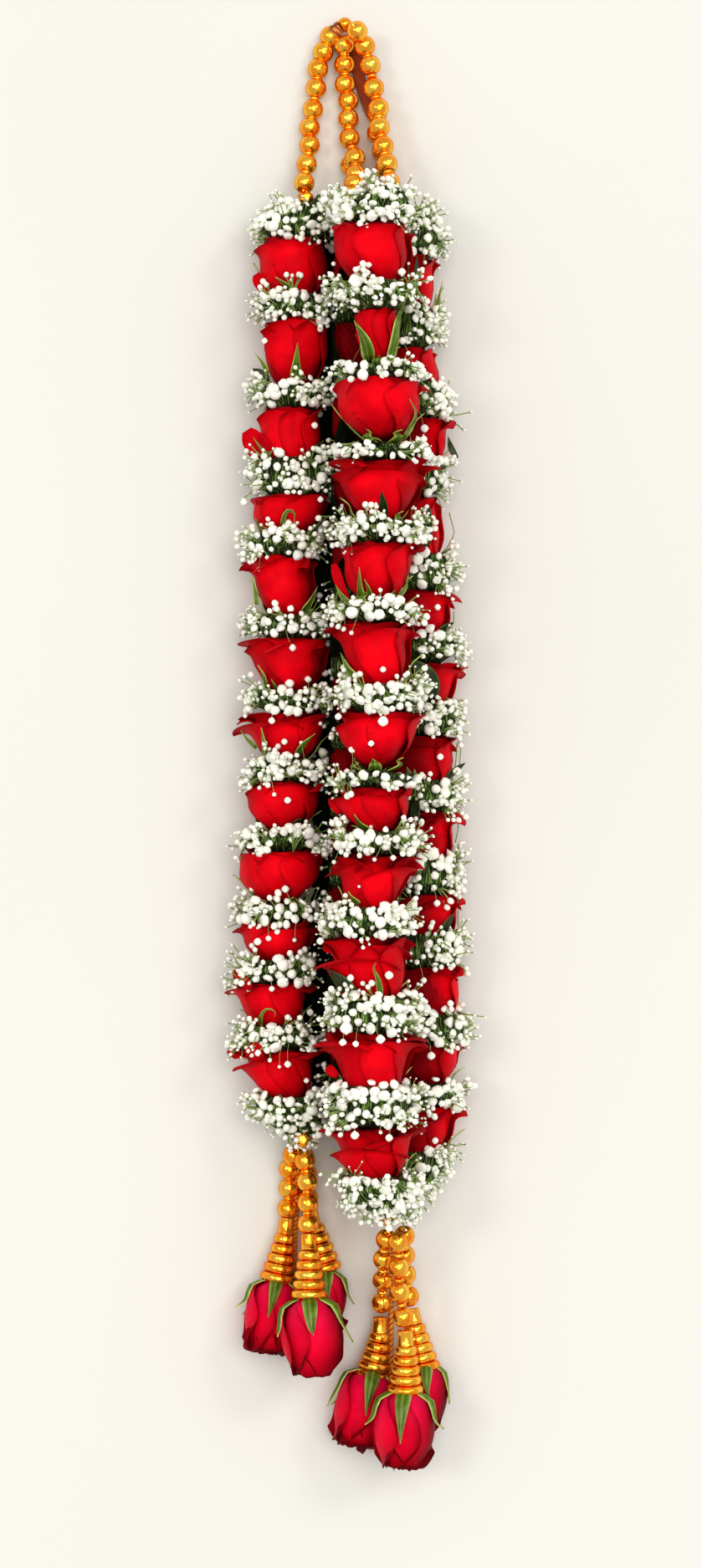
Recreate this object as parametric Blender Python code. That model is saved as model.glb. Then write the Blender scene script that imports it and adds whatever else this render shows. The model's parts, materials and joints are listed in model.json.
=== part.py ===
"""Pair of rose garlands laid flat: strung roses between collars of baby's breath, with gold
bead neck strands at the top and, at the foot of each garland, a bead tassel with three rosebuds.

The garlands lie along Y with the neck at +Y, X is across and Z is up from the table. All sizes
and places are in millimetres. A mesh is made in metres.
"""

import math
import random

import bmesh
import bpy
from mathutils import Vector

MM = 0.001
TURN = 2.0 * math.pi

# Clearances
GAP = 0.4                       # between two columns, where they press on each other
SEAT = 0.3                      # between a piece and what carries it

# Columns: three lie on the table and the right front one lies on two of them
LOW_Z = 26.0
HIGH_Z = 68.6
SPAN_Y = (300.0, -280.0)        # where the nominal centre lines below are given
NOMINAL_X = {
    "left_front": (-31.0, -41.0),
    "left_back": (0.5, 0.5),
    "right_back": (32.0, 44.5),
    "right_front": (15.0, 14.0),
}
HEIGHTS = {"left_front": LOW_Z, "left_back": LOW_Z, "right_back": LOW_Z, "right_front": HIGH_Z}

# Threads and the bores of the roses
THREAD_RADIUS = 1.2
THREAD_SIDES = 4
BORE_RADIUS = 1.9

# Roses
PETALS = 5
ROSE_SIDES = 2 * PETALS
BORE_SIDES = PETALS
HIP_SHARE = 0.56                # radius just above the calyx, as a share of the rose's radius
HIP_MOST = 12.5
HIP_HEIGHT = 4.5
BELLY_HEIGHT = 0.45
BELLY_CLOSED = 0.97
BELLY_SLIM = 0.12               # how much slimmer a wide open rose is at its belly
LIP_HEIGHT = 0.90
LIP_CLOSED = 0.76
LIP_FLARE = 0.28                # how far a wide open rose's outer petals spread
LIP_DIP = 0.10                  # notch between two outer petals, as a share of the height
GROOVE_SHARE = 0.66
GROOVE_HEIGHT = 0.72
HEART_SHARE = 0.43
HEART_HEIGHT = 0.9

# Collars of baby's breath
COLLAR_SIDES = 12
COLLAR_PHASE = 0.5              # puts two points of each ring side by side on the table
PRESSED_SINE = -0.95            # florets steeper below the thread than this reach the table
PRESSED_SHARE = 0.85            # if they come this share of the way to it
COLLAR_CORE = 8.5               # from the rim of one rose to the base of the next
RIM_CLEARANCE = 0.6
BASE_CLEARANCE = 0.7
COLLAR_LIFT = 9.5               # how far a collar climbs round the base of the rose above
FLORET_RAISE = 3.6
TOP_TUFT = 28.0
TUFT_STEPS = ((1.02, 0.30), (0.84, 0.62), (0.46, 0.88))     # share of radius, share of length

# Sepals, which stand between a rose and its collar
SEPAL_WIDTH = 5.6
SEPAL_THICK = 1.6

# Gold beads
BEAD_RADIUS = 6.3
BEAD_PITCH = 12.4
BEAD_SHOULDER = 0.21            # from a bead's middle to its two rings, as a share of the pitch
NECK_RADIUS = 2.2
STRAND_SIDES = 6
TUBE_LENGTH = 9.5
TUBE_RADIUS = 4.9
DISC_COUNT = 5
DISC_PITCH = 5.8
DISC_RADII = (6.6, 11.0)        # the first and the last of a stack
DISC_NECK = 4.6
KNOT_RADIUS = 5.0
STRAND_END = 3.0

# Rosebuds of the tassels
BUD_OPENNESS = 0.75
BUD_SEPALS = 5

# Each column's roses from the neck down: height of the rim along Y, middle across X, width, and
# how open the flower is from 0, a bud, to 1, wide open
COLUMNS = {
    "left_front": {
        "rims": (307, 258, 206, 154, 116, 65, 21, -21, -64, -105, -137, -177),
        "centres": (-36, -36, -36, -37, -42, -41, -39, -40, -43, -46, -47, -46),
        "widths": (44, 46, 40, 46, 49, 50, 57, 46, 50, 46, 46, 53),
        "openness": (0.3, 0.3, 0.25, 0.6, 0.4, 0.6, 0.9, 0.4, 0.5, 0.6, 0.7, 0.9),
        "end_centres": (-30, -32),
        "last_height": 35,
        "foot_tuft": 26,
        "foot_fall": 0,
        "collar_radius": 26,
        "florets_show": True,
        "sepal_angles": (75, 130),
    },
    "left_back": {
        "rims": (300, 256, 212, 168, 125, 84, 42, 0, -42, -83, -124, -165),
        "centres": (0, 0, 1, 0, 1, 0, 1, 0, 1, 0, 1, 0),
        "widths": (42, 44, 43, 45, 44, 43, 45, 44, 43, 45, 44, 43),
        "openness": (0.4, 0.5, 0.3, 0.6, 0.4, 0.5, 0.6, 0.4, 0.5, 0.6, 0.4, 0.5),
        "end_centres": (0.5, 0.5),
        "last_height": 35,
        "foot_tuft": 32,
        "foot_fall": 0,
        "collar_radius": 25.5,
        "florets_show": False,
        "sepal_angles": (),
    },
    "right_back": {
        "rims": (297, 246, 199, 152, 95, 50, 8, -37, -87, -131, -177, -218),
        "centres": (31, 30, 38, 34, 39, 45, 42, 43, 41, 44, 46, 43),
        "widths": (42, 42, 44, 43, 44, 45, 43, 44, 43, 44, 44, 43),
        "openness": (0.4, 0.4, 0.5, 0.4, 0.5, 0.6, 0.5, 0.6, 0.4, 0.5, 0.6, 0.5),
        "end_centres": (36, 43),
        "last_height": 36,
        "foot_tuft": 33,
        "foot_fall": 0,
        "collar_radius": 25.5,
        "florets_show": True,
        "sepal_angles": (28,),
    },
    "right_front": {
        "rims": (311, 261, 219, 170, 121, 74, 21, -25, -64, -112, -169, -224),
        "centres": (12, 14, 18, 18, 16, 12, 16, 10, 15, 9, 12, 15),
        "widths": (47, 31, 51, 60, 51, 52, 53, 50, 56, 52, 63, 58),
        "openness": (0.35, 0.1, 0.35, 0.8, 0.5, 0.7, 0.5, 0.6, 0.8, 0.6, 0.9, 0.85),
        "end_centres": (20, 25),
        "last_height": 38,
        "foot_tuft": 29,
        "foot_fall": 17,
        "collar_radius": 27.5,
        "florets_show": True,
        "sepal_angles": (62, 118),
    },
}

# Neck strands: points of each route, from one column's thread over the top to the next
NECK_ROUTES = {
    "neck_beads_left": (
        (-30, 336.0, 24), (-29, 343, 18), (-27.5, 353, 11), (-25.5, 365, 7), (-23.5, 386, 6.5),
        (-20, 411, 6.5), (-17.8, 423, 6.5), (-14.8, 431.5, 6.5), (-9, 438, 6.5), (-3.6, 432.5, 6.5),
        (-2.6, 424, 6.5), (-4, 411, 6.5), (-3, 391, 6.5), (-1, 369, 7), (1, 357, 9),
        (1.2, 346, 14), (0.7, 337, 20), (0.5, 329.0, 25),
    ),
    "neck_beads_right": (
        (20.3, 339.9, 64.5), (22, 345, 55), (23, 351, 44), (22, 359, 33), (19.5, 368, 24),
        (17.5, 379, 17.5), (15.5, 391, 12.5), (13.5, 404, 11), (11, 417, 13), (6, 429, 16.5),
        (-2, 436.5, 17.5), (-7.5, 439.5, 17.5),
    ),
    "neck_beads_behind": (
        (35.6, 327.2, 25), (32.5, 335, 19), (27, 345, 11.5), (20.5, 355.5, 7), (15.5, 367.5, 6.5),
        (13.2, 381.5, 6.5),
    ),
}

# Tie cord: a flat dark cord that runs from the folded top down between the neck strands
TIE_ROUTE = (
    (-9.5, 442.6, 2.0), (-3.5, 442.8, 2.0), (4.6, 438.4, 2.0), (7.2, 428.5, 2.0),
    (7.4, 414, 2.2), (8.8, 401, 2.4), (11.4, 389.5, 4.2), (12.8, 382.8, 6.2),
)
TIE_WIDTH = 5.4
TIE_THICK = 2.6
TIE_SIDES = 6
TIE_RINGS = 11

# Tassels: the knot under a garland, threads to its two columns, and three bead strands with
# their number of round beads and the length of the rosebud at the end
TASSELS = {
    "left": {
        "knot": (-32, -242.9, 25.5),
        "thread": ((-28, -244, 24), (-14, -243, 21), (-4, -240, 22), (0.4, -233.5, 25)),
        "cord": ((-31, -245, 20), (-33.5, -262, 10), (-34.5, -285, 6), (-36, -322, 5)),
        "strands": (
            {
                "route": (
                    (-33, -244, 24), (-38.5, -250, 16), (-39.5, -260, 9.5), (-40, -272, 8),
                    (-42, -289, 9), (-44.1, -304, 11.4), (-47, -324.5, 11.8),
                ),
                "beads": 4,
                "bud_middle": (-48.5, -345.5, 16.8),
                "bud_length": 42,
                "bud_radius": 18.5,
            },
            {
                "route": (
                    (-31.5, -244, 27), (-28, -251, 29), (-26.8, -265.5, 30), (-26.5, -288, 34),
                    (-26, -306, 38), (-26, -331.5, 41),
                ),
                "beads": 4,
                "bud_middle": (-25.5, -355.6, 42),
                "bud_length": 50,
                "bud_radius": 18.5,
            },
            {
                "route": (
                    (-31, -244.5, 24), (-24.6, -250, 16), (-22.8, -259, 9.5), (-21.3, -269, 8),
                    (-20.3, -286, 9), (-18.5, -299, 11.4), (-14.6, -318.5, 11.8),
                ),
                "beads": 3,
                "bud_middle": (-14, -338.5, 14.5),
                "bud_length": 40,
                "bud_radius": 15.5,
            },
        ),
    },
    "right": {
        "knot": (25.3, -295.8, 50.8),
        "thread": ((28, -297, 48), (36, -296, 40), (41.5, -293, 31), (43, -288.4, 26.6)),
        "cord": ((25, -299, 44), (23.8, -318, 26), (23.6, -340, 9), (23, -384, 5)),
        "strands": (
            {
                "route": (
                    (24.5, -298, 49), (19.8, -303, 42), (18.7, -312, 32), (18.3, -325, 20),
                    (17.8, -338, 11.5), (17, -351, 10.5), (15.7, -363, 11.4), (11.2, -384, 11.8),
                ),
                "beads": 4,
                "bud_middle": (6.2, -407, 16.8),
                "bud_length": 48,
                "bud_radius": 18.5,
            },
            {
                "route": (
                    (25.7, -298, 51), (27.5, -306, 50), (27.8, -323, 47), (29.7, -337, 44),
                    (31.9, -355, 42.5), (31.7, -388, 41),
                ),
                "beads": 4,
                "bud_middle": (30.9, -412.4, 41.5),
                "bud_length": 50,
                "bud_radius": 18.5,
            },
            {
                "route": (
                    (27, -298.5, 48), (34, -303, 40), (35.2, -313, 29), (36, -326, 18),
                    (38.2, -339, 11), (41.6, -352, 11), (47.2, -379, 11.8),
                ),
                "beads": 4,
                "bud_middle": (45.5, -399.5, 14.5),
                "bud_length": 42,
                "bud_radius": 15.5,
            },
        ),
    },
}
CORD_RADIUS = 1.9
CORD_TWIST = 0.7                # radians for each ring along the cord
CORD_RINGS = 9

# sRGB colour, roughness and metallic value of each material
FINISHES = {
    "rose_petals": ("C8102E", 0.5, 0.0),
    "bud_petals": ("B00A38", 0.5, 0.0),
    "babys_breath": ("EEF2E6", 0.7, 0.0),
    "gold_beads": ("E59A12", 0.25, 0.9),
    "tie_cord": ("6B1F1A", 0.8, 0.0),
}


def linear(channel):
    """One sRGB channel from 0 to 1 as linear light."""
    if channel <= 0.04045:
        return channel / 12.92
    return ((channel + 0.055) / 1.055) ** 2.4


def make_material(name):
    colour, roughness, metallic = FINISHES[name]
    channels = [linear(int(colour[i:i + 2], 16) / 255.0) for i in (0, 2, 4)]
    material = bpy.data.materials.new(name)
    material.use_nodes = True
    shader = material.node_tree.nodes["Principled BSDF"]
    shader.inputs["Base Color"].default_value = (*channels, 1.0)
    shader.inputs["Roughness"].default_value = roughness
    shader.inputs["Metallic"].default_value = metallic
    return material


def between(low, high, share):
    return low + (high - low) * share


class Wall:
    """A plane that a column stays behind: across * x + up * z is at most its offset, which
    changes evenly along Y, so the space behind all of a column's walls is convex."""

    def __init__(self, across, up, offsets):
        self.across = across
        self.up = up
        self.offsets = offsets

    def room(self, x, y, z):
        share = (y - SPAN_Y[0]) / (SPAN_Y[1] - SPAN_Y[0])
        offset = between(self.offsets[0], self.offsets[1], share)
        return offset - self.across * x - self.up * z


def wall_towards(name, other):
    """The wall halfway between two columns' nominal centre lines."""
    ends, other_ends = NOMINAL_X[name], NOMINAL_X[other]
    across = sum(other_ends) / 2.0 - sum(ends) / 2.0
    up = HEIGHTS[other] - HEIGHTS[name]
    size = math.hypot(across, up)
    across, up = across / size, up / size
    middle_z = (HEIGHTS[name] + HEIGHTS[other]) / 2.0
    offsets = [
        across * (ends[i] + other_ends[i]) / 2.0 + up * middle_z - GAP / 2.0 for i in (0, 1)
    ]
    return Wall(across, up, offsets)


class Column:
    """One strand of roses: its centre line, and the cell that its pieces are pressed into."""

    def __init__(self, name, data):
        self.name = name
        self.height = HEIGHTS[name]
        self.data = data
        self.rims = data["rims"]
        self.bases = [rim + COLLAR_CORE for rim in self.rims[1:]]
        self.bases.append(self.rims[-1] - data["last_height"])
        self.top = self.rims[0] + TOP_TUFT
        self.foot = self.bases[-1] - data["foot_tuft"]
        head_centre, foot_centre = data["end_centres"]
        self.line_y = (self.top, *self.rims, self.foot)
        self.line_x = (head_centre, *data["centres"], foot_centre)
        self.walls = [wall_towards(name, other) for other in NOMINAL_X if other != name]
        if self.height == LOW_Z:
            self.walls.append(Wall(0.0, -1.0, (0.0, 0.0)))

    def centre(self, y):
        """X and Z of the centre line at a height along Y. It bends at the rims of the roses."""
        x = self.line_x[0] if y > self.line_y[0] else self.line_x[-1]
        for i in range(len(self.line_y) - 1):
            high, low = self.line_y[i], self.line_y[i + 1]
            if low <= y <= high:
                x = between(self.line_x[i], self.line_x[i + 1], (high - y) / (high - low))
        fall = min(max((self.bases[-1] - y) / self.data["foot_tuft"], 0.0), 1.0)
        return x, self.height - self.data["foot_fall"] * fall ** 2

    def reach(self, angle, y):
        """How far it is from the centre line to the nearest wall at an angle."""
        x, z = self.centre(y)
        nearest = math.inf
        for wall in self.walls:
            towards = wall.across * math.cos(angle) + wall.up * math.sin(angle)
            if towards > 1e-6:
                nearest = min(nearest, wall.room(x, y, z) / towards)
        return nearest

    def place(self, radius, angle, y):
        """A point at a radius and angle from the centre line, pressed in by the walls."""
        x, z = self.centre(y)
        radius = min(radius, self.reach(angle, y))
        return Vector((x + radius * math.cos(angle), y, z + radius * math.sin(angle)))

    def place_floret(self, radius, angle, y):
        """As place, with the outer florets underneath spread flat on the table."""
        reach = self.reach(angle, y)
        if self.height == LOW_Z and math.sin(angle) < PRESSED_SINE:
            if radius > PRESSED_SHARE * reach:
                radius = reach
        return self.place(radius, angle, y)


class Route:
    """A smooth curve through given points, read by its length from the first one."""

    STEPS = 16

    def __init__(self, points, twist=0.0):
        self.twist = twist
        knots = [Vector(point) for point in points]
        first = knots[0] + knots[0] - knots[1]
        last = knots[-1] + knots[-1] - knots[-2]
        knots = [first, *knots, last]
        self.samples = []
        for i in range(1, len(knots) - 2):
            for step in range(self.STEPS):
                self.samples.append(self.blend(knots[i - 1:i + 3], step / self.STEPS))
        self.samples.append(knots[-2])
        self.marks = [0.0]
        for before, after in zip(self.samples, self.samples[1:]):
            self.marks.append(self.marks[-1] + (after - before).length)
        self.length = self.marks[-1]

    @staticmethod
    def blend(four, share):
        """Catmull-Rom point between the second and third of four knots."""
        a, b, c, d = four
        return 0.5 * (
            2 * b + (c - a) * share + (2 * a - 5 * b + 4 * c - d) * share ** 2
            + (3 * b - a - 3 * c + d) * share ** 3
        )

    def point(self, along):
        along = min(max(along, 0.0), self.length)
        i = 0
        while i < len(self.marks) - 2 and self.marks[i + 1] < along:
            i += 1
        share = (along - self.marks[i]) / (self.marks[i + 1] - self.marks[i])
        return self.samples[i].lerp(self.samples[i + 1], share)

    def frame(self, along):
        """Point, sideways direction and upward direction at a length along the curve."""
        reach = 0.5
        tangent = (self.point(along + reach) - self.point(along - reach)).normalized()
        side = tangent.cross(Vector((0, 0, 1))).normalized()
        return self.point(along), side, side.cross(tangent)

    def place(self, radius, angle, along):
        centre, side, up = self.frame(along)
        angle += self.twist * along
        point = centre + side * radius * math.cos(angle) + up * radius * math.sin(angle)
        point.z = max(point.z, 0.0)
        return point


class Shell:
    """A closed skin made ring by ring round a centre line. Every point is kept as radius, angle
    and length along the line until the skin is placed."""

    def __init__(self, place):
        self.place = place
        self.polar = []
        self.faces = []

    def point(self, radius, angle, along):
        self.polar.append((radius, angle, along))
        return len(self.polar) - 1

    def ring(self, sides, radius, along, phase=0.0, odd=1.0, odd_shift=0.0):
        """A ring of points. The odd ones may have another radius and lie further along."""
        indices = []
        for i in range(sides):
            share, shift = (odd, odd_shift) if i % 2 else (1.0, 0.0)
            angle = TURN * (i + phase) / sides
            indices.append(self.point(radius * share, angle, along + shift))
        return indices

    def bridge(self, first, second, raised=False):
        """Faces between two rings, of which one may have two or three times the other's points."""
        if len(first) < len(second):
            first, second = second, first
        count = len(first)
        if len(second) < count:
            times = count // len(second)
            for i, end in enumerate(second):
                after = second[(i + 1) % len(second)]
                fan = [first[(times * i + step) % count] for step in range(times + 1)]
                self.faces += [(end, fan[step], fan[step + 1]) for step in range(times - 1)]
                self.faces += [(end, fan[-2], after), (after, fan[-2], fan[-1])]
            return
        for i in range(count):
            a, b = first[i], first[(i + 1) % count]
            c, d = second[(i + 1) % count], second[i]
            if raised and i % 2 == 0:
                tip = self.raised_middle((a, b, c, d), i, count)
                self.faces += [(a, b, tip), (b, c, tip), (c, d, tip), (d, a, tip)]
            else:
                self.faces += [(a, b, d), (b, c, d)]

    def raised_middle(self, corners, i, count):
        """A point over the middle of four corners, as far out as a floret stands."""
        radius = sum(self.polar[corner][0] for corner in corners) / len(corners)
        along = sum(self.polar[corner][2] for corner in corners) / len(corners)
        start = self.polar[corners[0]][1]
        return self.point(radius + FLORET_RAISE, start + TURN / count / 2.0, along)

    def close(self, ring, along):
        """A fan from a ring to a point on the centre line."""
        pole = self.point(0.0, 0.0, along)
        for i, corner in enumerate(ring):
            self.faces.append((corner, ring[(i + 1) % len(ring)], pole))

    def mesh(self, name):
        mesh = bpy.data.meshes.new(name)
        points = [self.place(*polar) * MM for polar in self.polar]
        mesh.from_pydata(points, [], self.faces)
        return finish_mesh(mesh)


def finish_mesh(mesh):
    """Faces turned outwards."""
    work = bmesh.new()
    work.from_mesh(mesh)
    bmesh.ops.recalc_face_normals(work, faces=work.faces)
    work.to_mesh(mesh)
    work.free()
    return mesh


def keep_largest_skin(mesh):
    """Fill hollows that a union sealed, by deleting every skin but the largest."""
    work = bmesh.new()
    work.from_mesh(mesh)
    unseen = set(work.verts)
    skins = []
    while unseen:
        skin, edge = set(), [unseen.pop()]
        while edge:
            vertex = edge.pop()
            skin.add(vertex)
            near = {link.other_vert(vertex) for link in vertex.link_edges} & unseen
            unseen -= near
            edge += near
        skins.append(skin)
    skins.sort(key=len)
    for skin in skins[:-1]:
        bmesh.ops.delete(work, geom=list(skin), context="VERTS")
    work.to_mesh(mesh)
    work.free()


def add_object(name, mesh, material=None):
    if material:
        mesh.materials.append(material)
    item = bpy.data.objects.new(name, mesh)
    bpy.context.scene.collection.objects.link(item)
    return item


def fuse(item, meshes):
    """Join meshes to an object's own by one union, and keep only the result."""
    group = bpy.data.collections.new(item.name + "_joined")
    bpy.context.scene.collection.children.link(group)
    for mesh in meshes:
        group.objects.link(bpy.data.objects.new(mesh.name, mesh))
    union = item.modifiers.new("union", "BOOLEAN")
    union.operation = "UNION"
    union.operand_type = "COLLECTION"
    union.collection = group
    union.solver = "EXACT"
    bpy.context.view_layer.update()
    graph = bpy.context.evaluated_depsgraph_get()
    result = bpy.data.meshes.new_from_object(item.evaluated_get(graph))
    item.modifiers.clear()
    keep_largest_skin(result)
    item.data = result
    for helper in list(group.objects):
        bpy.data.objects.remove(helper)
    bpy.data.collections.remove(group)


def petal_rings(shell, radius, length, openness, base):
    """The rings of a flower from its hip over the outer petals to its heart."""
    belly = radius * (BELLY_CLOSED - BELLY_SLIM * openness)
    lip = radius * (LIP_CLOSED + LIP_FLARE * openness)
    notch = -LIP_DIP * length
    rings = [
        shell.ring(ROSE_SIDES, min(HIP_SHARE * radius, HIP_MOST), base + HIP_HEIGHT, 0.0, 0.94),
        shell.ring(ROSE_SIDES, belly, base + BELLY_HEIGHT * length, 0.5, 0.93),
        shell.ring(ROSE_SIDES, lip, base + LIP_HEIGHT * length, 0.0, 0.88, notch),
        shell.ring(ROSE_SIDES, GROOVE_SHARE * lip, base + GROOVE_HEIGHT * length, 0.5),
        shell.ring(ROSE_SIDES, HEART_SHARE * lip, base + length, 0.0, 0.86, 0.6 * notch),
    ]
    for lower, upper in zip(rings, rings[1:]):
        shell.bridge(lower, upper)
    return rings[0], rings[-1]


def strung_rose(column, index, turn):
    """A rose with a bore for the thread, closed from its base round its petals to its heart."""
    base, rim = column.bases[index], column.rims[index]
    radius = column.data["widths"][index] / 2.0

    def place(distance, angle, y):
        return column.place(distance, angle + turn, y)

    shell = Shell(place)
    length = rim - base
    hip, heart = petal_rings(shell, radius, length, column.data["openness"][index], base)
    foot = shell.ring(BORE_SIDES, BORE_RADIUS, base)
    top = shell.ring(BORE_SIDES, BORE_RADIUS, base + HEART_HEIGHT * length)
    shell.bridge(foot, hip)
    shell.bridge(heart, top)
    shell.bridge(top, foot)
    return shell


def climbing_ring(shell, column, high):
    """The ring where a collar climbs round the rose above, less so where a wall presses it in."""
    ring = []
    for i in range(COLLAR_SIDES):
        angle = TURN * (i + COLLAR_PHASE) / COLLAR_SIDES
        radius = column.data["collar_radius"] * (0.9 if i % 2 else 1.02)
        free = min(1.0, column.reach(angle, high) / radius)
        lift = COLLAR_LIFT * (0.8 if i % 2 else 1.0) * free * free
        ring.append(shell.point(radius, angle, high + lift))
    return ring


def collar(shell, column, low, high, thread):
    """One collar round the thread, from the rim of a rose to the base of the next."""
    radius = column.data["collar_radius"]
    raised = column.data["florets_show"]
    start = shell.ring(THREAD_SIDES, THREAD_RADIUS, low)
    under = shell.ring(COLLAR_SIDES, radius * 0.99, low, COLLAR_PHASE, 0.90, 1.8)
    waist = between(low, high, 0.5) + 1.6
    middle = shell.ring(COLLAR_SIDES, radius * 0.97, waist, COLLAR_PHASE, 1.12)
    over = climbing_ring(shell, column, high)
    end = shell.ring(THREAD_SIDES, THREAD_RADIUS, high)
    shell.bridge(thread, start)
    shell.bridge(start, under)
    shell.bridge(under, middle, raised)
    shell.bridge(middle, over, raised)
    shell.bridge(over, end)
    return end


def tuft(shell, radius, inner, outer):
    """The rings of an end tuft, from its wide inner end to the thread at its outer end."""
    rings = []
    for i, (share, way) in enumerate(TUFT_STEPS):
        along = between(inner, outer, way)
        odd = 1.1 if i % 2 else 0.88
        rings.append(shell.ring(COLLAR_SIDES, radius * share, along, COLLAR_PHASE, odd))
    end = shell.ring(THREAD_SIDES, THREAD_RADIUS, outer)
    for lower, upper in zip(rings, rings[1:]):
        shell.bridge(lower, upper, raised=True)
    shell.bridge(rings[-1], end)
    shell.close(end, outer)
    return rings[0]


def greenery(column):
    """The thread, the collars between the roses and the two end tufts, as one skin."""
    shell = Shell(column.place_floret)
    radius = column.data["collar_radius"]
    foot_high = column.bases[-1] - BASE_CLEARANCE
    over = climbing_ring(shell, column, foot_high)
    thread = shell.ring(THREAD_SIDES, THREAD_RADIUS, foot_high)
    shell.bridge(tuft(shell, radius, foot_high, column.foot), over, raised=True)
    shell.bridge(over, thread)
    for index in range(len(column.rims) - 1, 0, -1):
        low = column.rims[index] + RIM_CLEARANCE
        high = column.bases[index - 1] - BASE_CLEARANCE
        thread = collar(shell, column, low, high, thread)
    low = column.rims[0] + RIM_CLEARANCE
    start = shell.ring(THREAD_SIDES, THREAD_RADIUS, low)
    under = shell.ring(COLLAR_SIDES, radius * 0.99, low, COLLAR_PHASE, 0.90, 1.8)
    shell.bridge(thread, start)
    shell.bridge(start, under)
    shell.bridge(under, tuft(shell, radius, low, column.top), raised=True)
    return shell


def sepal(place, angle, stations):
    """A slim blade of three sides through stations of radius, length along and width."""
    shell = Shell(place)
    rings = []
    for radius, along, width in stations[:-1]:
        half = width / 2.0 / radius
        rings.append([
            shell.point(radius, angle - half, along),
            shell.point(radius + SEPAL_THICK, angle, along),
            shell.point(radius, angle + half, along),
        ])
    for lower, upper in zip(rings, rings[1:]):
        shell.bridge(lower, upper)
    radius, along, _ = stations[-1]
    tip = shell.point(radius, angle, along)
    last = rings[-1]
    shell.faces += [(last[i], last[(i + 1) % 3], tip) for i in range(3)]
    shell.faces.append(tuple(rings[0]))
    return shell


def column_sepals(column, draw):
    """The sepals that show beside a column's roses, rooted in the collar under each."""
    meshes = []
    for index, base in enumerate(column.bases):
        radius = column.data["widths"][index] / 2.0
        length = column.rims[index] - base
        for number, middle in enumerate(column.data["sepal_angles"]):
            angle = math.radians(middle + draw.uniform(-14, 14))
            reach = draw.uniform(0.50, 0.66)
            stations = (
                (0.80 * radius, base - 1.5, SEPAL_WIDTH),
                (1.05 * radius + 3.2, base + reach * length, 0.0),
            )
            name = f"{column.name}_sepal_{index}_{number}"
            meshes.append(sepal(column.place, angle, stations).mesh(name))
    return meshes


def bead_stations(start, count, pitch):
    """Lengths and radii of the rings of a row of round beads."""
    stations = []
    for i in range(count):
        middle = start + (i + 0.5) * pitch
        stations += [
            (middle - BEAD_SHOULDER * pitch, BEAD_RADIUS),
            (middle + BEAD_SHOULDER * pitch, BEAD_RADIUS),
            (middle + 0.5 * pitch, NECK_RADIUS),
        ]
    return stations


def strand(place, stations, sides=STRAND_SIDES):
    """A closed skin through stations of length along and radius."""
    shell = Shell(place)
    rings = [shell.ring(sides, radius, along, 0.5) for along, radius in stations]
    for lower, upper in zip(rings, rings[1:]):
        shell.bridge(lower, upper)
    shell.close(rings[0], stations[0][0])
    shell.close(rings[-1], stations[-1][0])
    return shell


def neck_strand(points):
    route = Route(points)
    count = round(route.length / BEAD_PITCH)
    stations = [(0.0, NECK_RADIUS), *bead_stations(0.0, count, route.length / count)]
    return strand(route.place, stations)


def tassel_stations(length, beads):
    """Round beads, one tube bead and a stack of growing discs down a tassel strand."""
    pitch = (length - TUBE_LENGTH - DISC_COUNT * DISC_PITCH) / beads
    stations = [(0.0, NECK_RADIUS), *bead_stations(0.0, beads, pitch)]
    along = beads * pitch
    stations += [(along + 0.8, TUBE_RADIUS), (along + TUBE_LENGTH - 0.8, TUBE_RADIUS)]
    along += TUBE_LENGTH
    for i in range(DISC_COUNT):
        radius = between(DISC_RADII[0], DISC_RADII[1], i / (DISC_COUNT - 1))
        middle = along + (i + 0.5) * DISC_PITCH
        stations += [(middle - 0.5 * DISC_PITCH, DISC_NECK), (middle, radius)]
    stations.append((length, STRAND_END))
    return stations


def twisted_cord(points):
    route = Route(points)
    twist = CORD_TWIST * CORD_RINGS / route.length
    route = Route(points, twist)
    shell = Shell(route.place)
    rings = []
    for i in range(CORD_RINGS + 1):
        along = route.length * i / CORD_RINGS
        rings.append(shell.ring(4, CORD_RADIUS, along))
    for lower, upper in zip(rings, rings[1:]):
        shell.bridge(lower, upper)
    shell.close(rings[0], 0.0)
    shell.close(rings[-1], route.length)
    return shell


def knot(middle):
    x, y, z = middle
    route = Route(((x, y + KNOT_RADIUS, z), (x, y, z), (x, y - KNOT_RADIUS, z)))
    size = route.length
    stations = [(0.05 * size, 0.45), (0.28 * size, 0.9), (0.72 * size, 0.9), (0.95 * size, 0.45)]
    return strand(route.place, [(along, share * KNOT_RADIUS) for along, share in stations])


def build_tassel(side, data, material):
    """The knot, the threads to the two columns, three bead strands and the twisted cord."""
    name = f"tassel_{side}_beads"
    meshes = [twisted_cord(data["cord"]).mesh(f"{name}_cord")]
    thread = Route(data["thread"])
    steps = len(data["thread"]) + 1
    stations = [(thread.length * i / steps, THREAD_RADIUS) for i in range(steps + 1)]
    meshes.append(strand(thread.place, stations, THREAD_SIDES).mesh(f"{name}_thread"))
    for number, row in enumerate(data["strands"]):
        route = Route(row["route"])
        skin = strand(route.place, tassel_stations(route.length, row["beads"]))
        meshes.append(skin.mesh(f"{name}_{number}"))
    item = add_object(name, knot(data["knot"]).mesh(name))
    fuse(item, meshes)
    item.data.materials.clear()
    item.data.materials.append(material)


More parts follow.
